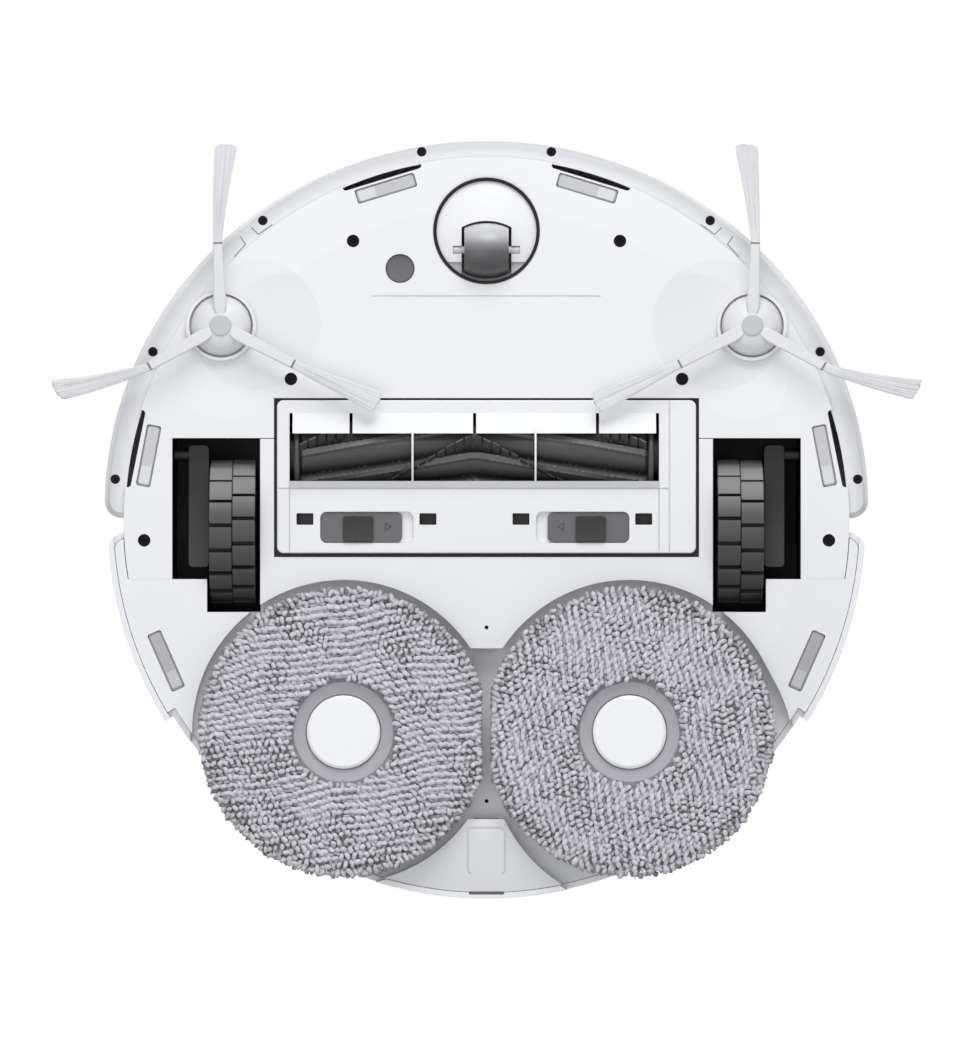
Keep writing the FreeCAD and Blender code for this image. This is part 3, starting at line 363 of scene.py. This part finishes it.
# The floor sensor's window darkens towards the front and has a dark rim.
floor_window = plastic("floor_sensor", grey(0.13), grey(0.145), 0.25)
shade_along(floor_window, "Y", ((-0.1245, 0.42), (-0.1195, 0.85), (-0.1125, 1.0)))
shade_from(floor_window, middle("floor_sensor_window"),
           ((0.0, 1.0), (0.0058, 1.0), (0.0064, 0.35), (0.0068, 0.3)))

white_plate = plastic("white_plate", grey(0.88), grey(0.9), 0.3)
white_hub = plastic("white_hub", grey(0.72), grey(0.76), 0.4)
bristle_white = plastic("bristle", grey(0.66), grey(0.76), 0.5, edge=0.0)
rubber_dark = plastic("tyre_rubber", grey(0.27), grey(0.31), 0.62, edge=0.0)
# Painted light: the tyres are painted lighter at the front, where the light falls, darker to the rear.
shade_along(rubber_dark, "Y", ((-0.027, 1.0), (-0.014, 0.72), (-0.003, 0.28), (0.012, 0.2)))
chenille = chenille_yarn()
board = plastic("board", (0.02, 0.12, 0.05), (0.03, 0.16, 0.07), 0.4)
cell = plastic("cell", (0.05, 0.12, 0.3), (0.06, 0.14, 0.33), 0.4)
smoke = plastic("smoke_plastic", grey(0.09), grey(0.12), 0.25)
paper = plastic("filter_paper", grey(0.7), grey(0.75), 0.9)

# Materials used only by pieces that are modelled below.
felt = plastic("mop_felt", (0.39, 0.385, 0.415), (0.46, 0.455, 0.49), 0.95, grain=1500.0, depth=0.00015,
               edge=0.0)
brush_cap = plastic("brush_cap", grey(0.52), grey(0.56), 0.4)
seam_grey = plastic("seam_grey", grey(0.22), grey(0.26), 0.6)
fin_rubber = plastic("fin_rubber", grey(0.085), grey(0.105), 0.42, edge=0.0)
finger_rubber = plastic("finger_rubber", grey(0.03), grey(0.04), 0.45, edge=0.0)
end_grey = plastic("end_grey", grey(0.06), grey(0.08), 0.45)
window_edge = plastic("window_edge", grey(0.26), grey(0.3), 0.3)
window_rear = plastic("window_rear", (0.39, 0.38, 0.41), (0.43, 0.42, 0.45), 0.25, coat=0.4)
window_rear_light = plastic("window_rear_light", grey(0.5), grey(0.54), 0.25, coat=0.4)
window_light = plastic("window_light", grey(0.66), grey(0.7), 0.2, coat=0.5)
mark_grey = plastic("mark_grey", grey(0.07), grey(0.08), 0.5)
# Painted shade: near-black rubber on the tyres' groove faces stands in for shade down in the grooves.
groove_painted_shade = plastic("groove_painted_shade", grey(0.012), grey(0.018), 0.7, edge=0.0)

FINISHES = {
    white: ["upper_shell", "top_cover", "brush_guard", "side_brush_hub_left", "side_brush_hub_right",
            "lidar_turret", "power_button", "home_button"],
    white_bumper: ["bumper"],
    white_fork: ["caster_fork"],
    white_plate: ["mop_plate_left", "mop_plate_right"],
    white_front: ["front_base_plate"],
    white_rear: ["rear_base_cover"],
    black: ["brush_bay", "wheel_well_left", "wheel_well_right", "roller_core", "roller_fins",
            "roller_end_caps", "roller_gearbox", "side_brush_gearboxes", "lidar_rotor", "suction_fan",
            "mop_motor_left", "mop_motor_right", "mop_arm_right"],
    dark_grey: ["drive_rim_left", "drive_rim_right"],
    arm_grey: ["drive_arm_left", "drive_arm_right"],
    ring_grey: ["caster_socket"],
    wheel_grey: ["caster_wheel"],
    stub_pale: ["caster_axle"],
    floor_window: ["floor_sensor_window"],
    latch_grey: ["latch_left", "latch_right"],
    rubber_dark: ["drive_tyre_left", "drive_tyre_right"],
    metal: ["suspension_spring_left", "suspension_spring_right"],
    screw_black: ["base_screws", "bumper_screws"],
    contact: ["charge_contacts"],
    window_grey: ["cliff_windows"],
    window_dark: ["bumper_window", "rear_window"],
    bristle_white: ["side_brush_bristles_left", "side_brush_bristles_right"],
    chenille: ["mop_pad_left", "mop_pad_right"],
    board: ["main_board"],
    cell: ["battery"],
    smoke: ["dust_bin", "water_tank"],
    paper: ["dust_filter"],
}


def finish_cad_nodes():
    """Gives every CAD node its material, those that a piece replaces too."""
    for material, names in FINISHES.items():
        for name in names:
            mesh = nodes[name].data
            mesh.materials.clear()
            mesh.materials.append(material)


# ---- mesh building ------------------------------------------------------------------------
def full_turn(steps):
    """Evenly spaced angles once round."""
    return [2 * math.pi * k / steps for k in range(steps)]


def clamp(value):
    return min(1.0, max(0.0, value))


class Shape:
    """Collects vertices and faces; each face keeps the index of its material."""

    def __init__(self):
        self.points = []
        self.faces = []
        self.marks = []

    def ring(self, points):
        start = len(self.points)
        self.points += [tuple(p) for p in points]
        return list(range(start, len(self.points)))

    def face(self, corners, mark=0):
        self.faces.append(tuple(corners))
        self.marks.append(mark)

    def bridge(self, a, b, mark=0):
        """Band of faces between two closed rings."""
        count = len(a)
        for i in range(count):
            j = (i + 1) % count
            self.face((a[i], a[j], b[j], b[i]), mark)

    def loft(self, rings, mark=0, caps=True):
        """Skin over rings of equal length; closed off at both ends if caps."""
        made = [self.ring(r) for r in rings]
        for near, far in zip(made, made[1:]):
            self.bridge(near, far, mark)
        if caps:
            self.face(reversed(made[0]), mark)
            self.face(made[-1], mark)
        return made

    def spin(self, profile, centre, steps, marks):
        """Closed profile of (radius, z) turned about a vertical axis, one mark for each stretch."""
        made = []
        for r, z in profile:
            made.append(self.ring([(centre[0] + r * math.cos(a), centre[1] + r * math.sin(a), z)
                                   for a in full_turn(steps)]))
        for i, low in enumerate(made):
            self.bridge(low, made[(i + 1) % len(made)], marks[i])

    def strand(self, line, radius, sides, chooser):
        """Uneven strand with rounded ends, along a line of points."""
        before = None
        rings = []
        count = len(line)
        for i, point in enumerate(line):
            along = (line[min(i + 1, count - 1)] - line[max(i - 1, 0)]).normalized()
            if before is None:
                before = along.orthogonal().normalized()
            before = (before - along * before.dot(along)).normalized()
            other = along.cross(before)
            t = 2 * i / (count - 1) - 1
            r = radius * math.sqrt(max(0.06, 1 - abs(t) ** 3.2))
            ring = []
            for a in full_turn(sides):
                reach = r * chooser.uniform(0.78, 1.18)
                ring.append(point + (before * math.cos(a) + other * math.sin(a)) * reach)
            rings.append(ring)
        self.loft(rings)

    def build(self, name, body, materials, replaces=(), smooth=True, sharp=40.0):
        """Makes the piece, riding on its body in place of the CAD nodes that it replaces."""
        mesh = bpy.data.meshes.new(name)
        mesh.from_pydata(self.points, [], self.faces)
        for material in materials:
            mesh.materials.append(material)
        mesh.polygons.foreach_set("material_index", self.marks)
        mesh.polygons.foreach_set("use_smooth", [smooth] * len(self.faces))
        work = bmesh.new()
        work.from_mesh(mesh)
        bmesh.ops.recalc_face_normals(work, faces=work.faces)
        work.to_mesh(mesh)
        work.free()
        if smooth:
            mesh.set_sharp_from_angle(angle=math.radians(sharp))
        piece = bpy.data.objects.new(name, mesh)
        bpy.context.scene.collection.objects.link(piece)
        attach(piece, body)
        for node in replaces:
            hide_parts(node)
        return piece


def drift(x, y, seed):
    """Smooth wandering value between about -1 and 1 on the base plane; x and y in millimetres."""
    return noise_value(Vector((x, y, seed * 17.3)))


# ---- mop pads -----------------------------------------------------------------------------
PAD_STEPS = 96
FELT_HOLE_R = 17.3 * MM
FELT_R = 22.9 * MM
FELT_Z = 4.3 * MM
FOAM_Z = 3.6 * MM
TUFT_R = 1.2 * MM
TUFT_LENGTH = 4.2 * MM
TUFT_SIDES = 7
TUFT_LAYERS = ((0.0, 1.75), (0.5, 3.0))     # shift in rows, height in mm
LOWEST_TUFT = 1.2 * TUFT_R + 0.1 * MM
ROW_GAP = 3.4 * MM
ALONG_GAP = 2.75 * MM
ROW_WANDER = 2.8 * MM       # how far a row strays from its straight line
ALONG_WANDER = 1.6 * MM
PADS_APART = 0.3 * MM       # clear of the line between the two pads, at rest
FRINGE = 2.5 * MM           # how far loose yarn ends hang out round the foam
YARN, FELT = range(2)


def pad_foam(shape, centre, outer, top):
    """Foam disc with a rounded rim and a felt ring round its middle hole."""
    profile = [(FELT_HOLE_R, top - 0.1 * MM), (FELT_HOLE_R, FELT_Z + 0.4 * MM),
               (FELT_HOLE_R + 0.4 * MM, FELT_Z), (FELT_R - 0.5 * MM, FELT_Z),
               (FELT_R, FOAM_Z), (40 * MM, FOAM_Z - 0.3 * MM), (outer - 5 * MM, FOAM_Z),
               (outer - 2.4 * MM, FOAM_Z + 0.8 * MM), (outer - 1.5 * MM, FOAM_Z + 2.0 * MM),
               (outer - 1.8 * MM, top - 0.1 * MM)]
    shape.spin(profile, (centre.x, centre.y), PAD_STEPS, [FELT] * 4 + [YARN] * 5 + [FELT])


def tuft_line(x, y, z, heading, tilt, length, bend):
    """Centre line of one chenille tuft lying on the pad, its ends curling up a little."""
    line = []
    for i in range(7):
        t = i / 6 - 0.5
        turn = heading + bend * t
        along = Vector((math.cos(turn), math.sin(turn), 0))
        rise = Vector((0, 0, length * t * tilt + 4 * t * t * 0.4 * MM))
        line.append(Vector((x, y, z)) + along * (length * t) + rise)
    return line


def pad_tuft(chooser, centre, outer, heading, seed, u, v, height):
    """Line of the tuft rooted at u along and v across the rows, or None where no yarn grows.

    Tufts follow the rows, wander with them, lie any way in messy patches and point outwards
    at the rim and round the felt. None passes the line between the pads or goes below the
    floor, and the fringe limits how far they hang out.
    """
    u_mm, v_mm = u / MM, v / MM
    v += ROW_WANDER * drift(u_mm * 0.045, v_mm * 0.03, seed)
    u += ALONG_WANDER * drift(u_mm * 0.06, v_mm * 0.06, seed + 3)
    x = u * math.cos(heading) - v * math.sin(heading)
    y = u * math.sin(heading) + v * math.cos(heading)
    r = math.hypot(x, y)
    if r < FELT_R + 1.6 * MM or r > outer + 2.6 * MM:
        return None
    away = math.copysign(1.0, centre.x)
    inwards = -x * away / r
    apart = abs(centre.x) - PADS_APART - 0.3 * TUFT_R
    limit = min(outer + FRINGE, apart / max(inwards, 0.01))
    messy = clamp(2.8 * drift(x / MM * 0.06, y / MM * 0.06, seed + 7) + 0.25)
    rim = clamp((r - outer + 11 * MM) / (8 * MM))
    inner = clamp((FELT_R + 5 * MM - r) / (4 * MM))
    slope = 0.35 + 0.4 * drift(u_mm * 0.05, v_mm * 0.05, seed + 11)
    turn = heading + slope + chooser.gauss(0, 0.12) + messy * chooser.uniform(-1.4, 1.4)
    outward = math.atan2(y, x) + chooser.gauss(0, 0.6)
    if rim > chooser.random() * 1.4 or inner > chooser.random() * 1.5:
        turn = outward
    length = TUFT_LENGTH * chooser.uniform(0.8, 1.12) * (1 - 0.25 * messy)
    reach = limit - length / 2 - chooser.uniform(0, 1.6) * MM
    if r > reach:
        x, y = x * reach / r, y * reach / r
    lift = chooser.uniform(-0.45, 0.45) * MM + messy * chooser.uniform(-0.3, 0.6) * MM
    lift += 1.0 * MM * rim ** 3
    tilt = chooser.gauss(0, 0.14 + 0.16 * messy)
    bend = chooser.gauss(0, 0.35)
    line = tuft_line(centre.x + x, centre.y + y, height * MM + lift, turn, tilt, length, bend)
    lowest = min(p.z for p in line)
    if lowest < LOWEST_TUFT:
        line = [p + Vector((0, 0, LOWEST_TUFT - lowest)) for p in line]
    across = PADS_APART + 1.3 * TUFT_R - min(p.x * away for p in line)
    if across > 0:
        line = [p + Vector((away * across, 0, 0)) for p in line]
    return line


def mop_pad(side, heading, seed):
    """Foam pad with a felt ring in its middle and rows of chenille tufts on its underside."""
    chooser = random.Random(seed)
    node = "mop_pad_" + side
    centre = middle(node)
    low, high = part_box(node)
    outer = (high.x - low.x) / 2
    shape = Shape()
    pad_foam(shape, centre, outer, high.z)
    rows = int(outer / ROW_GAP) + 3
    columns = int(outer / ALONG_GAP) + 3
    for shift, height in TUFT_LAYERS:
        for row in range(-rows, rows + 1):
            for column in range(-columns, columns + 1):
                u = (column + 0.5 * (row % 2) + chooser.uniform(-0.15, 0.15)) * ALONG_GAP
                v = (row + shift + chooser.uniform(-0.08, 0.08)) * ROW_GAP
                line = pad_tuft(chooser, centre, outer, heading, seed, u, v, height)
                if line:
                    shape.strand(line, TUFT_R * chooser.uniform(0.85, 1.1), TUFT_SIDES, chooser)
    piece = shape.build("chenille_pad_" + side, "mop_" + side, [chenille, felt], [node],
                        sharp=70)


# ---- side brushes -------------------------------------------------------------------------
BRUSH_X, BRUSH_Y = 122.5 * MM, -89.5 * MM
# (radius, height) in mm: the cap in the middle, then the dome out to its upper edge
HUB_PROFILE = ((0.01, 3.0), (4.5, 3.0), (4.85, 3.25), (4.95, 3.5), (5.3, 3.75), (6.4, 4.0), (8.5, 4.7),
               (10.6, 5.9), (12.4, 7.6), (13.6, 9.6), (14.0, 11.3), (0.01, 11.3))
# (distance, half width, lowest, highest) in mm along an arm, from the hub outwards
ARM_SECTIONS = ((4.9, 1.6, 3.7, 6.0), (6.5, 2.5, 3.3, 6.2), (9.5, 3.0, 2.9, 5.6), (15, 2.85, 2.5, 4.6),
                (24, 2.55, 1.9, 3.9), (33, 2.3, 1.5, 3.5), (37.4, 2.2, 1.4, 3.4))
COLLAR_SECTIONS = ((37.3, 2.05, 1.55, 3.25), (38.3, 2.05, 1.55, 3.25))
HUB_STEPS = 96
HUB, CAP, SEAM = range(3)
FILAMENTS = 64
FILAMENT_ROOT = 37.6        # mm from the hub's middle
FILAMENT_STEPS = 14
LOWEST_FILAMENT = 0.3       # mm over the floor
BEND_SHIFT = 45             # mm by which a bend of 1 moves a tuft's end sideways


def blade_ring(origin, along, across, distance, half, low, high, edge):
    """Cross-section of an arm: eight corners of a bar with cut edges."""
    corners = [(-half, low + edge), (-half + edge, low), (half - edge, low), (half, low + edge),
               (half, high - edge), (half - edge, high), (-half + edge, high), (-half, high - edge)]
    return [origin + along * distance + across * w + Vector((0, 0, z)) for w, z in corners]


def bristle_tuft(shape, origin, along, across, bend, tip, chooser):
    """Fan of filaments lying close together: a thin ribbed blade with a ragged end."""
    ridge = [chooser.uniform(0.0, 0.3) for _ in range(FILAMENTS)]
    phase = [chooser.uniform(0, 6.3) for _ in range(FILAMENTS)]
    short = [chooser.uniform(0.0, 0.9) for _ in range(FILAMENTS)]
    rings = []
    for i in range(FILAMENT_STEPS + 1):
        t = i / FILAMENT_STEPS
        half = 1.95 + 3.3 * t ** 1.2
        middle_z = 2.35 - 0.75 * t
        thick = 0.72 - 0.25 * t
        near_side, far_side = [], []
        for j in range(FILAMENTS):
            s = 2 * j / (FILAMENTS - 1) - 1
            reach = tip - 1.4 * s ** 4 - short[j]
            d = FILAMENT_ROOT + (reach - FILAMENT_ROOT) * t
            gap = 0.25 * math.sin(2.6 * t + 3.0 * s) * t
            w = s * half + gap + bend * t ** 1.3 * BEND_SHIFT
            round_off = math.sqrt(max(0.0, 1 - s ** 4))
            uneven = ridge[j] * (0.6 + 0.4 * math.sin(3.0 * t + phase[j])) * min(1.0, 4 * t)
            near_z = max(LOWEST_FILAMENT, middle_z - thick * round_off + uneven)
            far_z = middle_z + thick * round_off - uneven + 0.1
            point = origin + along * (d * MM) + across * (w * MM)
            near_side.append(point + Vector((0, 0, near_z * MM)))
            far_side.append(point + Vector((0, 0, far_z * MM)))
        rings.append(near_side + far_side[::-1])
    shape.loft(rings)


def side_brush(side, arms, seed):
    """Domed hub with a cap and three stiff arms, and a tuft of filaments at each arm's end.

    Each arm has its angle in degrees, the sideways bend of its tuft and how far out that ends in mm.
    """
    chooser = random.Random(seed)
    sign = -1 if side == "left" else 1
    origin = Vector((sign * BRUSH_X, BRUSH_Y, 0))
    body = "side_brush_" + side
    hub = Shape()
    hub.spin([(r * MM, z * MM) for r, z in HUB_PROFILE], origin, HUB_STEPS, [CAP] * 2 + [HUB] * 10)
    tufts = Shape()
    for angle, bend, tip in arms:
        turn = math.radians(angle)
        along = Vector((math.cos(turn), math.sin(turn), 0))
        across = Vector((-along.y, along.x, 0))
        for sections, edge, mark in ((ARM_SECTIONS, 0.45, HUB), (COLLAR_SECTIONS, 0.4, SEAM)):
            hub.loft([blade_ring(origin, along, across, d * MM, half * MM, low * MM, high * MM, edge * MM)
                      for d, half, low, high in sections], mark)
        bristle_tuft(tufts, origin, along, across, bend, tip, chooser)
    hub.build("brush_hub_" + side, body, [white_hub, brush_cap, seam_grey],
              ["side_brush_hub_" + side], sharp=35)
    tufts.build("brush_filaments_" + side, body, [bristle_white],
                ["side_brush_bristles_" + side], sharp=80)


# ---- drive wheels -------------------------------------------------------------------------
LUGS = 18
# (share of a lug's pitch, height over the tyre's radius in mm): a steep front, a long slope, a groove
LUG_PROFILE = ((0.0, -2.9), (0.015, -0.15), (0.05, 0.0), (0.25, -0.1), (0.5, -0.3), (0.7, -0.55),
               (0.85, -0.9), (0.855, -2.9))
GROOVE_STRETCHES = (0, 6, 7)
RIM_R = 27.2 * MM
GROOVE_DEPTH = 3.2 * MM
COLUMN_SHIFT = 0.28         # of a pitch, between the two columns
COLUMN_INSET = 0.15 * MM    # each column stops this far short of the tyre's middle
LUG_EDGE = 0.35 * MM
RUBBER, GROOVE = range(2)


def tyre(side):
    """Rubber tyre with two columns of stepped lugs."""
    node = "drive_tyre_" + side
    low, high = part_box(node)
    axle_y, axle_z = middle(node).y, middle(node).z
    outer = (high.z - low.z) / 2
    pitch = 2 * math.pi / LUGS
    width = (high.x - low.x) / 2 - COLUMN_INSET
    columns = [(low.x, low.x + width), (high.x - width, high.x)]
    shape = Shape()

    def ring_at(x, profile):
        return [(x, axle_y + r * math.cos(a), axle_z + r * math.sin(a)) for a, r in profile]

    for column, (near, far) in enumerate(columns):
        shifted = column == 1 if side == "right" else column == 0
        shift = COLUMN_SHIFT * pitch * shifted
        profile = [(k * pitch + shift + t * pitch, outer + r * MM)
                   for k in range(LUGS) for t, r in LUG_PROFILE]
        softened = [(a, r - 0.3 * MM) for a, r in profile]
        flat = [(a, outer - GROOVE_DEPTH) for a, r in profile]
        hollow = [(a, RIM_R) for a, r in profile]
        rings = [ring_at(near, hollow), ring_at(near, flat), ring_at(near, softened),
                 ring_at(near + LUG_EDGE, profile), ring_at(far - LUG_EDGE, profile),
                 ring_at(far, softened), ring_at(far, flat), ring_at(far, hollow)]
        first = len(shape.marks)
        made = shape.loft(rings, RUBBER, caps=False)
        shape.bridge(made[-1], made[0], RUBBER)
        # Groove faces take the near-black rubber: painted shade down in the grooves.
        for k in range(first, len(shape.marks)):
            if (k - first) % len(LUG_PROFILE) in GROOVE_STRETCHES:
                shape.marks[k] = GROOVE
    shape.build("ribbed_tyre_" + side, "drive_wheel_" + side, [rubber_dark, groove_painted_shade],
                [node], sharp=25)


# ---- roller -------------------------------------------------------------------------------
CORE_R = 12.2 * MM
APEX_X = -5.5 * MM          # where the two halves of the V meet
APEX_ROUND = 2.5 * MM
RIBS = 7
RIB_TWIST = math.radians(0.62) / MM
FINGER_ROWS, FINGERS = 3, 38
FINGER_TWIST = math.radians(1.7) / MM
FIRST_FINGER = -34          # degrees from straight down
# (height over the core in mm, lean, half thickness as angles) of a finger, from root to tip
FINGER_PROFILE = ((0.0, 0.34, 0.055), (2.6, 0.22, 0.05), (5.0, 0.08, 0.035), (6.9, 0.0, 0.022))
# (along the axis, radius) in mm of the ring at either end
END_PROFILE = ((0.0, 12.2), (0.0, 15.2), (0.4, 16.4), (1.0, 16.8), (1.9, 16.8), (2.5, 16.2), (2.5, 12.2))
END_RING = 2.5 * MM
END_STEPS = 72
STEPS_ALONG, STEPS_ROUND = 110, 180
RIB, FINGER, END = range(3)


def rib_rise(t):
    """Height in mm over the core; t runs from 0 to 1 across a rib and the groove behind it."""
    if t < 0.07:
        return 0.8 + 4.3 * math.sin(t / 0.07 * math.pi / 2)
    if t < 0.24:
        return 5.1 - 0.25 * math.sin((t - 0.07) / 0.17 * math.pi)
    if t < 0.28:
        return 5.1 - 1.2 * (t - 0.24) / 0.04
    return 0.4 + 3.5 * math.cos((t - 0.28) / 0.72 * math.pi / 2) ** 0.8


def roller():
    """Dark roller: low helical ribs that meet in a V, and three taller rows of cut fingers."""
    node = "roller_fins"
    low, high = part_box(node)
    left, right = low.x - 0.8 * MM, high.x
    y0, z0 = middle(node).y, middle(node).z
    # Painted shade: the fin rubber is painted darker near the core, down between the ribs.
    shade_from(fin_rubber, (0, y0, z0), ((0.0122, 0.1), (0.0145, 0.28), (0.0163, 0.6), (0.0172, 1.0)),
               keep=(0, 1, 1))
    chooser = random.Random(5)
    shape = Shape()

    def turned(x, r, a):
        """Point round the roller's axis; the angle starts straight down."""
        return (x, y0 + r * math.sin(a), z0 - r * math.cos(a))

    rings = []
    for i in range(STEPS_ALONG + 1):
        x = left + (right - left) * i / STEPS_ALONG
        near_end = min(1.0, min(x - left, right - x) / (3 * MM) + 0.6)
        bow = math.sqrt((x - APEX_X) ** 2 + APEX_ROUND ** 2)
        ring = []
        for a in full_turn(STEPS_ROUND):
            t = ((a - RIB_TWIST * bow + 0.2) * RIBS / (2 * math.pi)) % 1.0
            ring.append(turned(x, CORE_R + rib_rise(t) * MM * near_end, a))
        rings.append(ring)
    shape.loft(rings, RIB)

    for row in range(FINGER_ROWS):
        start_angle = math.radians(FIRST_FINGER + 120 * row)
        for k in range(FINGERS):
            near = left + (right - left) * (k + 0.06) / FINGERS
            far = left + (right - left) * (k + 0.82) / FINGERS
            sway = chooser.uniform(-0.02, 0.02)
            made = []
            for x in (near, (near + far) / 2, far):
                a = start_angle + FINGER_TWIST * abs(x - APEX_X) + sway
                back = [turned(x, CORE_R + h * MM, a + lean - thick) for h, lean, thick in FINGER_PROFILE]
                front = [turned(x, CORE_R + h * MM, a + lean + thick) for h, lean, thick in FINGER_PROFILE]
                made.append(back + front[::-1])
            shape.loft(made, FINGER)

    for x in (left - END_RING, right):
        rings = [[turned(x + dx * MM, r * MM, a) for a in full_turn(END_STEPS)] for dx, r in END_PROFILE]
        made = shape.loft(rings, END, caps=False)
        shape.bridge(made[-1], made[0], END)
    shape.build("finned_roller", "roller", [fin_rubber, finger_rubber, end_grey], [node],
                sharp=30)


# ---- small fittings -----------------------------------------------------------------------
def rounded_bar(length, width, corner, steps=5):
    """Outline of a rounded bar about the origin."""
    outline = []
    across, up = length / 2 - corner, width / 2 - corner
    for cx, cy, start in ((across, up, 0), (-across, up, 90), (-across, -up, 180), (across, -up, 270)):
        for k in range(steps + 1):
            a = math.radians(start + 90 * k / steps)
            outline.append((cx + corner * math.cos(a), cy + corner * math.sin(a)))
    return outline


CLIFF_PLACES = ((16.9, 159.9), (79.3, 158.8), (113.8, 161.7))   # degrees from the front, mm from the middle
CLIFF_SLOPE = 0.085
CLIFF_Z, CLIFF_Z_RADIUS = 11.55, 144.0                          # mm: height of the base at a radius
PANE, BORDER, LIGHT_END, REAR_PANE, REAR_LIGHT_END = range(5)


def cliff_pane(shape, angle, radius, flip):
    """One pane on the rising base, with a dark border and a clearer square end."""
    a = math.radians(angle)
    at_rear = abs(angle) > 90
    rise = (CLIFF_Z + (radius - CLIFF_Z_RADIUS) * CLIFF_SLOPE) * MM

    def place(points, lift):
        made = []
        for x, y in points:
            px = radius * MM * math.sin(a) + x * math.cos(a) - y * math.sin(a)
            py = -radius * MM * math.cos(a) + x * math.sin(a) + y * math.cos(a)
            out = (math.hypot(px, py) / MM - radius) * CLIFF_SLOPE
            made.append((px, py, rise + (lift + out) * MM))
        return made

    border = rounded_bar(28.4 * MM, 6.5 * MM, 1.7 * MM)
    inside = rounded_bar(27.0 * MM, 5.2 * MM, 1.2 * MM)
    end = [(x * 0.3 + flip * 9.0 * MM, y * 0.94) for x, y in inside]
    shape.loft([place(border, 1.2), place(border, 0.15), place(border, 0.0)], BORDER)
    shape.loft([place(inside, 0.1), place(inside, -0.12)], REAR_PANE if at_rear else PANE)
    shape.loft([place(end, 0.0), place(end, -0.2)], REAR_LIGHT_END if at_rear else LIGHT_END)


def cliff_windows():
    """Three panes on either side."""
    shape = Shape()
    for angle, radius in CLIFF_PLACES:
        for sign in (1, -1):
            cliff_pane(shape, sign * angle, radius, sign)
    shape.build("cliff_panes", "chassis",
                [window_grey, window_edge, window_light, window_rear, window_rear_light],
                ["cliff_windows"], sharp=30)


# Sizes and places of the marks and grooves in mm
LATCH_MARKS = (("latch_left", -45.4, 1), ("latch_right", 34.3, -1))
LATCH_MARK_Y = 3.2
GROOVE_HALF = 0.24
CLIP_LINES = (((-108.7, -135.0), (-105.4, -131.8), (-99.0, -136.4)),
              ((-113.9, -130.9), (-111.4, -127.2), (-116.7, -121.4)))


def latch_marks():
    """Small triangle outlines on the latches, pointing to the middle."""
    for name, x, sign in LATCH_MARKS:
        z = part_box(name)[0].z + LATCH_GRIP
        shape = Shape()
        outer = [(1.9, 0.0), (-1.5, 2.0), (-1.5, -2.0)]
        inner = [(1.0, 0.0), (-1.05, 1.2), (-1.05, -1.2)]
        rings = []
        for outline, dz in ((outer, 0.1), (outer, -0.07), (inner, -0.07), (inner, 0.1)):
            rings.append([((x + sign * px) * MM, (LATCH_MARK_Y + py) * MM, z + dz * MM)
                          for px, py in outline])
        made = shape.loft(rings, caps=False)
        shape.bridge(made[-1], made[0])
        shape.build(name + "_mark", name, [mark_grey], smooth=False)


def under(name, x, y):
    """Height of a node's underside at a place; x and y in millimetres."""
    return nodes[name].ray_cast(Vector((x * MM, y * MM, -1)), Vector((0, 0, 1)))[1].z


def clip_lines():
    """Fine grooves round the clips in the bumper's lower edge."""
    shape = Shape()
    for sign in (1, -1):
        for line in CLIP_LINES:
            for start, end in zip(line, line[1:]):
                a = Vector((sign * start[0], start[1], 0))
                b = Vector((sign * end[0], end[1], 0))
                side = (b - a).normalized().cross(Vector((0, 0, 1))) * GROOVE_HALF
                rings = []
                for k in range(7):
                    p = a.lerp(b, k / 6)
                    z = under("bumper", p.x, p.y) / MM
                    corners = ((p + side, 0.2), (p + side, -0.03), (p - side, -0.03), (p - side, 0.2))
                    rings.append([(q.x * MM, q.y * MM, (z + dz) * MM) for q, dz in corners])
                shape.loft(rings)
    shape.build("bumper_clip_lines", "bumper", [seam_grey], smooth=False)


finish_cad_nodes()
mop_pad("left", math.radians(-9), 11)
mop_pad("right", math.radians(78), 23)
side_brush("left", ((-92, 0.12, 83.3), (150, 0.26, 81.3), (28, -0.05, 81.3)), 31)
side_brush("right", ((-88, -0.12, 83.3), (30, -0.26, 81.3), (152, 0.05, 81.3)), 37)
tyre("left")
tyre("right")
roller()
cliff_windows()
latch_marks()
clip_lines()
make_world()
make_lights()
make_floor()
make_camera()
bpy.context.scene.view_settings.view_transform = "Standard"
